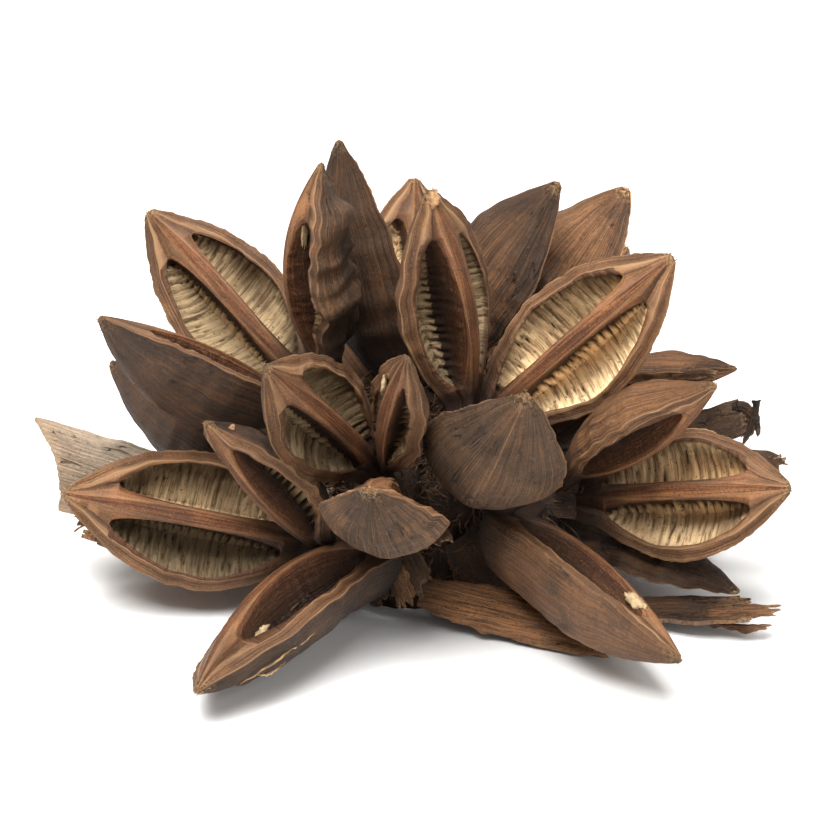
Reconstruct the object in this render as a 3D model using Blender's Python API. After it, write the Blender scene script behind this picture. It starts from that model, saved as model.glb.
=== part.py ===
"""Dry fruit head of a traveller's palm, built piece by piece in millimetres.

Ten woody capsules crowd a short cut stem. Each has split into three valves, which spread like
a star. A valve is a third of a spindle: it has a smooth husk outside, a straight ridge inside
along the old middle of the capsule, and a seed chamber with cross ribs on each side of that
ridge. Torn remains of the big boat-shaped bracts stick out between and below the capsules.
"""
import math
from collections import namedtuple

import bmesh
import bpy
import numpy as np
from mathutils import Matrix, Vector

MM = 0.001

# A valve's section: angles are measured from the keel, sizes are in millimetres
RIM_ANGLE = math.radians(62)
BACK_ANGLE = math.radians(32)
FLOOR_ANGLE = math.radians(36)
HALF_WIDTH = math.sin(RIM_ANGLE)
WALL = 2.2
RIM_BAND = 4.0
RIDGE_HALF = 0.5
RIDGE_SWELL = 2.4
RIB_HIGH = 0.7
RIB_LOW = -0.2
KEEL = 1.04

# A valve's length, as shares from root to tip
WIDEST = 0.42
TIP = 0.10
TAPER = 2.05
CHAMBER_FROM, CHAMBER_TO = 0.04, 0.86
CHAMBER_FADE = 0.08
RIBBED = (0.12, 0.79)
RIBBED_STATIONS = 9

# The stem: a cut stalk that leans back, and a short branch to every capsule
STALK_FOOT = (0, 13, 0)
STALK_TOP = (3, 24, 50)
STALK_RADII = (20, 24, 22, 12)
STALK_SIDES = 14
BRANCH_SIDES = 8
BRANCH_RADII = (7.5, 5.2, 6.4, 3.2)
BRANCH_SHORT = 1.0

# A bract's sheet
BRACT_THICK = 1.4
BRACT_ROWS = 9
BRACT_COLUMNS = 9

Valve = namedtuple("Valve", "name wood root tip facing width bow base")
Bract = namedtuple("Bract", "name wood path outward width arch ridge slant torn seed")

# name, wood, root, tip, where the inner side faces, width across the rims, how far the ridge
# bows inwards, and the share of the full width left at the root
VALVES = [
    Valve("valve_left_outer", "brown", (-35, -10, 26), (-107, -15, 44), (.17, -.88, .45), 44, 5, .42),
    Valve("valve_left_upper", "dark", (-31.5, -24.5, 30), (-62, -36, 75), (-.70, -.70, -.10), 34, 4, .45),
    Valve("valve_left_front", "dark", (-21, -17, 29), (-63, -87, 14), (-.45, .08, .89), 43, 9, .82),
    Valve("valve_right_outer", "brown", (56, -3, 38), (115, -23, 49), (-.37, -.78, .50), 42, 4, .42),
    Valve("valve_right_front", "brown", (39, -11, 34), (78, -80, 21), (.80, .05, .60), 43, 5, .86),
    Valve("valve_right_upper", "brown", (53, -7, 45), (91, -29, 84), (.48, -.46, -.74), 38, 6, .42),
    Valve("valve_upper_right", "brown", (25, -1, 66), (79, 1, 115), (-.29, -.89, .34), 41, 4, .42),
    Valve("valve_upper_tall", "brown", (19, -2, 71), (6, -5, 138), (.72, -.69, .11), 40, 7, .42),
    Valve("valve_upper_front", "grey", (21.3, -12, 53), (33.4, -60, 95), (.33, .63, .70), 45, 4, .50),
    Valve("valve_front_left", "brown", (-11, -24, 58), (-41, -57, 101), (.73, -.69, -.01), 36, 4, .42),
    Valve("valve_front_top", "brown", (-10, -26, 57), (-2, -58, 105), (-.78, -.57, -.26), 24, 4, .30),
    Valve("valve_front_low", "grey", (-5, -28, 48), (-12, -72, 71), (.10, .44, .89), 40, 4, .42),
    Valve("valve_left_shoulder", "brown", (-38, 29, 67), (-86, 66, 109), (-.03, -.77, .63), 40, 4, .42),
    Valve("valve_left_hanging", "dark", (-39, 21, 63), (-95, -3, 98), (.24, .59, .77), 44, 4, .42),
    Valve("valve_left_tall", "grey", (-32, 25, 73), (-29, 16, 140), (-.99, -.10, -.01), 40, 10, .42),
    Valve("valve_top_left", "dark", (-3, 50, 59), (-23, 59, 135), (.70, .71, .05), 38, 4, .42),
    Valve("valve_top_back", "brown", (2, 54, 59), (1, 122, 103), (.17, -.53, .83), 43, 4, .42),
    Valve("valve_top_right", "dark", (9, 47, 60), (47, 50, 123), (.51, .63, -.59), 40, 4, .42),
    Valve("valve_backright_tall", "dark", (36, 63, 57), (71, 73, 114), (.52, .63, -.57), 41, 4, .42),
    Valve("valve_backright_rear", "brown", (43, 69, 50), (76, 130, 75), (.62, -.55, .56), 44, 4, .42),
    Valve("valve_backright_side", "brown", (47, 56, 43), (105, 40, 63), (.16, -.48, -.86), 30, 4, .42),
    Valve("valve_lowright_front", "dark", (47, 19, 16), (102, -16, 10), (-.1, .35, -.93), 24, 3, .35),
    Valve("valve_lowright_side", "brown", (50, 34, 20), (108, 58, 25), (.30, -.80, -.52), 32, 4, .42),
    Valve("valve_lowright_rear", "brown", (46, 44, 15), (86, 98, 24), (.71, -.70, 0), 36, 4, .42),
    Valve("valve_backleft_outer", "dark", (-41, 44, 33), (-99, 57, 60), (.40, .77, .50), 44, 4, .42),
    Valve("valve_backleft_rear", "brown", (-38, 49, 32), (-80, 116, 51), (-.86, -.51, -.11), 44, 4, .42),
    Valve("valve_backleft_low", "dark", (-41, 47, 25), (-95, 77, 15), (-.05, .28, .96), 37, 4, .42),
    Valve("valve_back_left", "brown", (-5, 65, 36), (-34, 129, 49), (.82, .45, -.36), 38, 4, .42),
    Valve("valve_back_right", "brown", (6, 65, 35), (36, 131, 42), (-.89, .42, -.16), 39, 4, .42),
    Valve("valve_back_low", "dark", (0, 65, 29), (-2, 136, 12), (.07, .24, .97), 40, 4, .42),
]

# The place where the three valves of each capsule were joined
SEATS = {
    "left": (-27, -10, 24),
    "right": (46, 2, 35),
    "upper": (16, -4, 58),
    "front": (-6, -17, 47),
    "left_shoulder": (-32, 25, 62),
    "top": (3, 47, 53),
    "backright": (37, 58, 47),
    "lowright": (39, 30, 18),
    "backleft": (-34, 42, 30),
    "back": (0, 58, 34),
}

# name, wood, path from the stem to the torn end, where the outer face looks, width, depth of
# the trough, height of the lengthwise ridges, slant and depth of the torn end, seed of its tear
BRACTS = [
    Bract("bract_left", "pale", [(-26, 17, 24), (-70, 18, 24), (-113, 4, 47)], (.1, -.8, .6), 26, 7, .2, -8, 2, 3),
    Bract("bract_left_low", "brown", [(-27, 11, 9), (-62, 14, 6), (-101, 4, 20)], (0, -.5, -.8), 18, 3, .3, 0, 5, 4),
    Bract("bract_front", "brown", [(3, -17, 12), (30, -21, 5), (60, -35, 6.5)], (0, -.35, .93), 20, 2, .8, 0, 4, 5),
    Bract("bract_right_low", "dark", [(28, 1, 4), (64, -13, -1), (103, -25, 8)], (0, .1, -1), 15, 2, .3, 0, 8, 6),
    Bract("bract_right", "brown", [(29, 22, 9), (62, 32, 6), (97, 29, 11)], (0, -.5, -.85), 22, 4, .7, 0, 3, 7),
    Bract("bract_right_upper", "dark", [(38, 36, 39), (76, 33, 40), (109, 38, 50)], (0, -.7, .7), 13, 4, .3, 0, 5, 8),
    Bract("bract_right_middle", "dark", [(36, 24, 27), (84, 14, 26), (115, 12, 41)], (0, -.6, -.8), 13, 3, .3, 0, 5, 9),
    Bract("bract_back_left", "brown", [(-16, 42, 10), (-26, 70, 4), (-46, 112, 10)], (0, 0, -1), 26, 5, .6, 0, 4, 10),
    Bract("bract_back_right", "brown", [(16, 42, 10), (28, 72, 4), (50, 112, 10)], (0, 0, -1), 26, 5, .6, 0, 4, 11),
]

# sRGB colour and roughness of each kind of dry wood
WOODS = {
    "brown": ("6b5040", 0.75),
    "dark": ("4a3a30", 0.8),
    "grey": ("6a5c52", 0.8),
    "pale": ("8c8273", 0.85),
    "stem": ("3f2f25", 0.9),
}


def clear_scene():
    for obj in list(bpy.data.objects):
        bpy.data.objects.remove(obj, do_unlink=True)


def linear(hex_colour):
    """An sRGB hex colour as linear red, green, blue and alpha."""
    values = [int(hex_colour[i:i + 2], 16) / 255 for i in (0, 2, 4)]
    return [v / 12.92 if v <= 0.04045 else ((v + 0.055) / 1.055) ** 2.4 for v in values] + [1.0]


def wood_material(kind, name):
    colour, roughness = WOODS[kind]
    material = bpy.data.materials.new(name + "_" + kind)
    material.use_nodes = True
    shader = material.node_tree.nodes["Principled BSDF"]
    shader.inputs["Base Color"].default_value = linear(colour)
    shader.inputs["Roughness"].default_value = roughness
    shader.inputs["Metallic"].default_value = 0.0
    return material


def add_object(name, kind, vertices, faces, placement=None):
    """An object from vertices in millimetres, closed and facing outwards."""
    mesh = bpy.data.meshes.new(name)
    mesh.from_pydata([Vector(v) * MM for v in vertices], [], faces)
    bm = bmesh.new()
    bm.from_mesh(mesh)
    bmesh.ops.recalc_face_normals(bm, faces=bm.faces)
    bm.to_mesh(mesh)
    bm.free()
    mesh.materials.append(wood_material(kind, name))
    mesh.shade_smooth()
    mesh.set_sharp_from_angle(angle=math.radians(35))
    obj = bpy.data.objects.new(name, mesh)
    bpy.context.scene.collection.objects.link(obj)
    if placement is not None:
        obj.matrix_world = placement
    return obj


def tube_faces(rings, sides):
    """Quads between successive rings, and a cap with one face at each end."""
    faces = [tuple(reversed(range(sides)))]
    for ring in range(rings - 1):
        start = ring * sides
        for side in range(sides):
            beside = (side + 1) % sides
            faces.append((start + side, start + beside, start + sides + beside, start + sides + side))
    faces.append(tuple(range((rings - 1) * sides, rings * sides)))
    return faces


def body_radius(share, base):
    """Radius at a share of the length: it swells from the root and narrows to the tip."""
    if share < WIDEST:
        return base + (1 - base) * math.sin(0.5 * math.pi * share / WIDEST)
    rest = (share - WIDEST) / (1 - WIDEST)
    return TIP + (1 - TIP) * (1 - rest ** TAPER)


def chamber_depth(share):
    """How far the chambers are hollowed out at a share of the length, from 0 to 1."""
    opening = (share - CHAMBER_FROM) / CHAMBER_FADE
    closing = (CHAMBER_TO - share) / CHAMBER_FADE
    return math.sqrt(max(0.0, min(1.0, opening, closing)))


def half_section(radius, share, rib):
    """Points (across, inwards) from the ridge round one rim to the keel."""
    depth = chamber_depth(share)
    ridge = min(RIDGE_HALF + RIDGE_SWELL * math.sin(math.pi * min(share * 1.05, 1)), radius * 0.3)
    shoulder = -0.5 * min(1, radius / 8)
    wall = max(radius - WALL, radius * 0.6)
    band = max(radius - RIM_BAND, radius * 0.55)
    floor = wall - rib * depth
    inner_rim = (band * HALF_WIDTH, -band * math.cos(RIM_ANGLE))
    hollow = [
        (0.20, (1.5, -0.45 * wall)),
        (0.45, (2.9, -0.95 * floor)),
        (0.75, (floor * math.sin(FLOOR_ANGLE), -floor * math.cos(FLOOR_ANGLE))),
    ]
    points = [(0, 0), (ridge, shoulder)]
    for along, (across, inwards) in hollow:
        flat_across = ridge + (inner_rim[0] - ridge) * along
        flat_inwards = shoulder + (inner_rim[1] - shoulder) * along
        points.append((flat_across + (across - flat_across) * depth,
                       flat_inwards + (inwards - flat_inwards) * depth))
    points.append(inner_rim)
    points.append((radius * HALF_WIDTH, -radius * math.cos(RIM_ANGLE)))
    points.append((radius * math.sin(BACK_ANGLE), -radius * math.cos(BACK_ANGLE)))
    points.append((0, -KEEL * radius))
    return points


def valve_stations():
    """Shares of the length at which a section stands, closer where the chambers are ribbed."""
    return [0.0, 0.06, *np.linspace(*RIBBED, RIBBED_STATIONS).tolist(), 0.89, 1.0]


def valve_placement(valve):
    """Origin at the root, X to the tip, Z where the inner side faces."""
    root, tip = Vector(valve.root), Vector(valve.tip)
    along = (tip - root).normalized()
    facing = Vector(valve.facing)
    inwards = (facing - along * facing.dot(along)).normalized()
    across = inwards.cross(along)
    turn = Matrix((along, across, inwards)).transposed().to_4x4()
    return Matrix.Translation(root * MM) @ turn


def add_valve(valve):
    length = (Vector(valve.tip) - Vector(valve.root)).length
    full = valve.width / (2 * HALF_WIDTH)
    vertices = []
    stations = valve_stations()
    for number, share in enumerate(stations):
        radius = full * body_radius(share, valve.base)
        rib = RIB_HIGH if number % 2 else RIB_LOW
        half = half_section(radius, share, rib)
        mirrored = [(-across, inwards) for across, inwards in half[-2:0:-1]]
        lift = valve.bow * 4 * share * (1 - share)
        vertices += [(share * length, across, inwards + lift) for across, inwards in half + mirrored]
    sides = len(vertices) // len(stations)
    faces = tube_faces(len(stations), sides)
    return add_object(valve.name, valve.wood, vertices, faces, valve_placement(valve))


def bezier(path, share):
    """Point and direction on the quadratic curve of three path points."""
    first, middle, last = (Vector(p) for p in path)
    rest = 1 - share
    point = first * rest ** 2 + middle * 2 * rest * share + last * share ** 2
    direction = (middle - first) * rest + (last - middle) * share
    return point, direction.normalized()


def bract_surface(bract):
    """Rows of points on the middle surface of a bract, from the stem to its torn end."""
    draw = np.random.default_rng(bract.seed)
    tear = (draw.uniform(-1, 1, BRACT_COLUMNS) * bract.torn).tolist()
    edge_wave = draw.uniform(-0.7, 0.7, (BRACT_ROWS, 2)).tolist()
    rows = []
    for row in range(BRACT_ROWS):
        share = row / (BRACT_ROWS - 1)
        point, along = bezier(bract.path, share)
        outward = Vector(bract.outward)
        outward = (outward - along * outward.dot(along)).normalized()
        across = outward.cross(along)
        half = 0.5 * bract.width * (0.40 + 0.60 * math.sin(math.pi * (0.08 + 0.60 * share)))
        line = []
        for column in range(BRACT_COLUMNS):
            side = 2 * column / (BRACT_COLUMNS - 1) - 1
            place = point + across * (side * half) - outward * (bract.arch * side * side)
            place += outward * (bract.ridge * (0.5 if column % 2 else -0.5))
            if column in (0, BRACT_COLUMNS - 1):
                place += across * edge_wave[row][column > 0]
            place += along * ((tear[column] + bract.slant * side) * share ** 6)
            line.append(place)
        rows.append(line)
    return rows


def surface_normal(rows, row, column):
    """Normal of the grid at one point, from its neighbours along and across."""
    before = rows[max(row - 1, 0)][column]
    after = rows[min(row + 1, len(rows) - 1)][column]
    left = rows[row][max(column - 1, 0)]
    right = rows[row][min(column + 1, len(rows[row]) - 1)]
    return (after - before).cross(right - left).normalized()


def add_bract(bract):
    """A closed sheet: two faces split into triangles alike, and a strip round their edge."""
    rows = bract_surface(bract)
    upper, lower = [], []
    for row in range(BRACT_ROWS):
        for column in range(BRACT_COLUMNS):
            offset = surface_normal(rows, row, column) * (0.5 * BRACT_THICK)
            upper.append(rows[row][column] + offset)
            lower.append(rows[row][column] - offset)
    shift = len(upper)
    faces = []
    for row in range(BRACT_ROWS - 1):
        for column in range(BRACT_COLUMNS - 1):
            a = row * BRACT_COLUMNS + column
            b, c, d = a + 1, a + 1 + BRACT_COLUMNS, a + BRACT_COLUMNS
            faces += [(a, b, c), (a, c, d)]
            faces += [(shift + c, shift + b, shift + a), (shift + d, shift + c, shift + a)]
    last = (BRACT_ROWS - 1) * BRACT_COLUMNS
    edge = list(range(BRACT_COLUMNS))
    edge += [row * BRACT_COLUMNS + BRACT_COLUMNS - 1 for row in range(1, BRACT_ROWS)]
    edge += [last + column for column in range(BRACT_COLUMNS - 2, -1, -1)]
    edge += [row * BRACT_COLUMNS for row in range(BRACT_ROWS - 2, 0, -1)]
    for here, there in zip(edge, edge[1:] + edge[:1]):
        faces.append((there, here, shift + here, shift + there))
    return add_object(bract.name, bract.wood, upper + lower, faces)


def tube(points, radii, sides):
    """Vertices and faces of a round solid along points, with a radius at each."""
    vertices = []
    for number, point in enumerate(points):
        before = points[max(number - 1, 0)]
        after = points[min(number + 1, len(points) - 1)]
        turn = (after - before).to_track_quat("Z", "Y")
        for side in range(sides):
            angle = 2 * math.pi * side / sides
            reach = Vector((math.cos(angle), math.sin(angle), 0)) * radii[number]
            vertices.append(point + turn @ reach)
    return vertices, tube_faces(len(points), sides)


def add_stem():
    """The stalk, flat underneath, with a branch grown into it for every capsule."""
    foot, top = Vector(STALK_FOOT), Vector(STALK_TOP)
    heights = (0, 0.35, 0.75, 1)
    vertices = []
    for share, radius in zip(heights, STALK_RADII):
        middle = foot.lerp(top, share)
        for side in range(STALK_SIDES):
            angle = 2 * math.pi * side / STALK_SIDES
            vertices.append(middle + Vector((math.cos(angle), math.sin(angle), 0)) * radius)
    stalk = add_object("stem", "stem", vertices, tube_faces(len(heights), STALK_SIDES))
    grown = bpy.data.collections.new("stem_branches")
    for name, seat in SEATS.items():
        end = Vector(seat)
        start = foot.lerp(top, min(0.8, max(0.25, (end.z - 12) / top.z)))
        reach = end - start
        end = end - reach.normalized() * BRANCH_SHORT
        points = [start, start.lerp(end, 0.55), start.lerp(end, 0.88), end]
        branch = add_object("branch_" + name, "stem", *tube(points, BRANCH_RADII, BRANCH_SIDES))
        bpy.context.scene.collection.objects.unlink(branch)
        grown.objects.link(branch)
    union = stalk.modifiers.new("branches", "BOOLEAN")
    union.operation = "UNION"
    union.operand_type = "COLLECTION"
    union.collection = grown
    union.solver = "EXACT"
    bpy.context.scene.collection.children.link(grown)
    with bpy.context.temp_override(object=stalk, active_object=stalk):
        bpy.ops.object.modifier_apply(modifier=union.name)
    for branch in list(grown.objects):
        bpy.data.objects.remove(branch, do_unlink=True)
    bpy.data.collections.remove(grown)
    return stalk


def main():
    clear_scene()
    add_stem()
    for valve in VALVES:
        add_valve(valve)
    for bract in BRACTS:
        add_bract(bract)


if __name__ == "__main__":
    main()
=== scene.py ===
"""Looks of a dry traveller's palm fruit head: thirty woody valves, torn bracts and their stem."""
import math
from collections import namedtuple

import bmesh
import bpy
import numpy as np
from mathutils import Matrix, Vector


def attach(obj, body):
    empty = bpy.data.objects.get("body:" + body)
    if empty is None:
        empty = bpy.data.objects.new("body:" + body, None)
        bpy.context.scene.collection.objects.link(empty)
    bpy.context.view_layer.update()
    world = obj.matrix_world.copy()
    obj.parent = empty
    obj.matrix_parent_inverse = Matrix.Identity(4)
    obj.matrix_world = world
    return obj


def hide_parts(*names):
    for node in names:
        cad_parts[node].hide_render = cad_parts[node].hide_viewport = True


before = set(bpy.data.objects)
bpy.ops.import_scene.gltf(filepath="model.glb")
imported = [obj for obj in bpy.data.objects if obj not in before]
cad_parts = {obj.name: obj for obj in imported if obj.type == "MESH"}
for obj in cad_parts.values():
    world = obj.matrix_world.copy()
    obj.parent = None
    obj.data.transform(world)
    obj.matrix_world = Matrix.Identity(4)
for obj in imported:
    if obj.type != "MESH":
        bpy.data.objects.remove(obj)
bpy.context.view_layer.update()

bl_info = {
    "name": "Palm fruit head",
    "version": (1, 0, 0),
    "blender": (4, 5, 0),
    "location": "View3D > Sidebar > Fruit head",
    "description": "Makes a dry palm fruit head of split capsules, with its bracts, stem and fibres",
    "category": "Add Mesh",
}

MM = 0.001

# A valve's section: angles are measured from the keel, sizes are in millimetres
RIM_ANGLE = math.radians(62)
HALF_WIDTH = math.sin(RIM_ANGLE)
WALL = 2.2
RIDGE_HALF = 0.5
RIDGE_SWELL = 1.7

# A valve's length, as shares from root to tip
WIDEST = 0.42
TIP = 0.10
TAPER = 2.05
MOUTH_FROM, MOUTH_TO = 0.05, 0.81
NECK = 0.12

# How many points a valve's grid has: along the mouths, from mouth to tip, and round half a section
MOUTH_STATIONS = 106
TIP_STATIONS = 16
NECK_STATIONS = 6
ROOT_STATIONS = 6
CAVITY_COLUMNS = 23
HUSK_COLUMNS = 13

# The zones of half a section, from the ridge round the rim, and the kinds of surface on faces
RIDGE_ZONE, CHAMBER_ZONE, BAND_ZONE, HUSK_ZONE = range(4)
HUSK, WOOD, LINING = range(3)
# A section twists about a line so far behind the rims, as a share of the full radius
TWIST_LINE = 0.45

# The stem, in millimetres: its radii are given from foot to top, and from stalk to capsule
STALK_FOOT = (0, 13, 0)
STALK_TOP = (3, 24, 50)
STALK_RADII = (20, 24, 22, 12)
BRANCH_RADII = (7.5, 5.2, 6.4, 3.2)

# Hairs to a square metre of bark, how far their profile is scaled, and how high, in metres, the
# cut foot of the stalk is bare
HAIRS = 85000.0
HAIR_THICK = 0.02
BARE_FOOT = 0.012

# Thickness in millimetres, and rows and columns of points
BRACT_THICK, BRACT_GRID = 1.3, (38, 80)
SCRAP_THICK, SCRAP_GRID = 0.6, (12, 14)

# Torn pieces and hairs stay this far above the floor, in metres
LOWEST = 0.0003

# The lamps with their place and size in metres and their power in watts
LAMPS = [("key", (-0.20, -0.50, 1.15), 0.8, 31.0), ("fill", (0.9, -0.8, 0.6), 0.9, 6.0),
         ("back", (0.1, 0.75, 1.2), 0.9, 10.0)]
LAMPS_AIM = (0, 0.02, 0.05)
ROOM_LIGHT = 0.28
FLOOR_HALF = 6.0

# The camera looks down on the head. Its focal length is known in pixels of a picture so wide.
CAMERA_TARGET = (0, 22.5, 55.6)
CAMERA_ANGLE = math.radians(22)
CAMERA_DISTANCE = 0.9
FOCAL_PIXELS, PICTURE_PIXELS = 2812.5, 825.0
SENSOR = 36.0

Valve = namedtuple("Valve", "name wood root tip facing width bow base tone wrinkle paper",
                   defaults=(1.0, 0.0, (1.0, 1.0)))
Bract = namedtuple("Bract", "name wood path outward width arch ridge slant torn seed")

# name, wood, root, tip, where the inner side faces, width across the rims, how far the ridge
# bows inwards, the share of the full width left at the root, in millimetres, then how light the
# wood is, how strongly the husk has shrunk into wrinkles, and how light its two linings are. The
# linings' lightness is partly their own colour and partly painted light and shade: lighter for
# chambers that lie in other valves' shadow, darker for chambers that face down
CAPSULES = {
    "left": [
        Valve("outer", "brown", (-35, -10, 26), (-107, -15, 44), (.17, -.88, .45), 44, 5, .42, .9, 0, (.24, .52)),
        Valve("upper", "dark", (-31.5, -24.5, 30), (-62, -36, 75), (-.70, -.70, -.10), 34, 4, .45, .85, .3, (.5, .5)),
        Valve("front", "dark", (-21, -17, 29), (-63, -87, 14), (-.45, .08, .89), 43, 9, .82, .78, .2, (.55, .55)),
    ],
    "right": [
        Valve("outer", "brown", (56, -3, 38), (115, -23, 49), (-.37, -.78, .50), 42, 4, .42, 1.0, 0, (1.45, .95)),
        Valve("front", "brown", (39, -11, 34), (78, -80, 21), (.80, .05, .60), 43, 5, .86, .76, 0, (.9, .9)),
        Valve("upper", "brown", (53, -7, 45), (91, -29, 84), (.48, -.46, -.74), 38, 6, .42, 1.0, .2, (.7, .7)),
    ],
    "upper": [
        Valve("right", "brown", (25, -1, 66), (79, 1, 115), (-.29, -.89, .34), 41, 4, .42, 1.0, 0, (1.2, 1.25)),
        Valve("tall", "brown", (19, -2, 71), (6, -5, 138), (.72, -.69, .11), 40, 7, .42, .85, .1, (.36, .5)),
        Valve("front", "grey", (21.3, -12, 53), (33.4, -60, 95), (.33, .63, .70), 45, 4, .50, .82, 0, (.8, .8)),
    ],
    "front": [
        Valve("left", "brown", (-11, -24, 58), (-41, -57, 101), (.73, -.69, -.01), 36, 4, .42, .72, .2, (.38, .48)),
        Valve("top", "brown", (-10, -26, 57), (-2, -58, 105), (-.78, -.57, -.26), 24, 4, .30, .72, .3, (.6, .6)),
        Valve("low", "grey", (-5, -28, 48), (-12, -72, 71), (.10, .44, .89), 40, 4, .42, 1.0, .2, (.8, .8)),
    ],
    "left_shoulder": [
        Valve("left_shoulder", "brown", (-38, 29, 67), (-86, 66, 109), (-.03, -.77, .63), 40, 4, .42, .88, 0, (.5, .5)),
        Valve("left_hanging", "dark", (-39, 21, 63), (-95, -3, 98), (.24, .59, .77), 44, 4, .42, .8, 0, (.7, .7)),
        Valve("left_tall", "grey", (-32, 25, 73), (-29, 16, 140), (-.99, -.10, -.01), 40, 10, .42, .85, 1.0, (.7, .7)),
    ],
    "top": [
        Valve("left", "dark", (-3, 50, 59), (-23, 59, 135), (.70, .71, .05), 38, 4, .42, .75, .2, (.8, .8)),
        Valve("back", "brown", (2, 54, 59), (1, 122, 103), (.17, -.53, .83), 43, 4, .42, .9, 0, (1.0, 1.0)),
        Valve("right", "dark", (9, 47, 60), (47, 50, 123), (.51, .63, -.59), 40, 4, .42, 1.05, .1, (.8, .8)),
    ],
    "backright": [
        Valve("tall", "dark", (36, 63, 57), (71, 73, 114), (.52, .63, -.57), 41, 4, .42, 2.4, .1, (.8, .8)),
        Valve("rear", "brown", (43, 69, 50), (76, 130, 75), (.62, -.55, .56), 44, 4, .42),
        Valve("side", "brown", (47, 56, 43), (105, 40, 63), (.16, -.48, -.86), 30, 4, .42, .85, .3, (.8, .8)),
    ],
    "lowright": [
        Valve("front", "dark", (47, 19, 16), (102, -16, 10), (-.1, .35, -.93), 24, 3, .35, .75, .4, (.7, .7)),
        Valve("side", "brown", (50, 34, 20), (108, 58, 25), (.30, -.80, -.52), 32, 4, .42, .9, .2, (.8, .8)),
        Valve("rear", "brown", (46, 44, 15), (86, 98, 24), (.71, -.70, 0), 36, 4, .42),
    ],
    "backleft": [
        Valve("outer", "dark", (-41, 44, 33), (-99, 57, 60), (.40, .77, .50), 44, 4, .42, .8, .1, (.8, .8)),
        Valve("rear", "brown", (-38, 49, 32), (-80, 116, 51), (-.86, -.51, -.11), 44, 4, .42),
        Valve("low", "dark", (-41, 47, 25), (-95, 77, 15), (-.05, .28, .96), 37, 4, .42),
    ],
    "back": [
        Valve("left", "brown", (-5, 65, 36), (-34, 129, 49), (.82, .45, -.36), 38, 4, .42),
        Valve("right", "brown", (6, 65, 35), (36, 131, 42), (-.89, .42, -.16), 39, 4, .42),
        Valve("low", "dark", (0, 65, 29), (-2, 136, 12), (.07, .24, .97), 40, 4, .42),
    ],
}

# The place where the three valves of each capsule were joined
SEATS = {
    "left": (-27, -10, 24),
    "right": (46, 2, 35),
    "upper": (16, -4, 58),
    "front": (-6, -17, 47),
    "left_shoulder": (-32, 25, 62),
    "top": (3, 47, 53),
    "backright": (37, 58, 47),
    "lowright": (39, 30, 18),
    "backleft": (-34, 42, 30),
    "back": (0, 58, 34),
}

# name, wood, path from the stem to the torn end, where the outer face looks, width, depth of
# the trough, height of the lengthwise ridges, slant and depth of the torn end, seed of its tear
BRACTS = [
    Bract("bract_left", "pale", [(-26, 17, 24), (-70, 18, 24), (-113, 4, 47)], (.1, -.8, .6), 26, 7, .1, -8, .7, 3),
    Bract("bract_left_low", "brown", [(-27, 11, 9), (-62, 14, 6), (-101, 4, 20)], (0, -.5, -.8), 18, 3, .3, 0, 5, 4),
    Bract("bract_front", "brown", [(3, -17, 12), (30, -21, 5), (60, -35, 6.5)], (0, -.35, .93), 20, 2, .8, 0, 4, 5),
    Bract("bract_right_low", "dark", [(28, 1, 4), (64, -13, -1), (103, -25, 8)], (0, .1, -1), 15, 2, .3, 0, 8, 6),
    Bract("bract_right", "brown", [(29, 22, 9), (62, 32, 6), (97, 29, 11)], (0, -.5, -.85), 22, 4, .7, 0, 3, 7),
    Bract("bract_right_upper", "dark", [(38, 36, 39), (76, 33, 40), (109, 38, 50)], (0, -.7, .7), 13, 4, .3, 0, 5, 8),
    Bract("bract_right_middle", "dark", [(36, 24, 27), (84, 14, 26), (115, 12, 41)], (0, -.6, -.8), 13, 3, .3, 0, 5, 9),
    Bract("bract_back_left", "brown", [(-16, 42, 10), (-26, 70, 4), (-46, 112, 10)], (0, 0, -1), 26, 5, .6, 0, 4, 10),
    Bract("bract_back_right", "brown", [(16, 42, 10), (28, 72, 4), (50, 112, 10)], (0, 0, -1), 26, 5, .6, 0, 4, 11),
]
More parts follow.
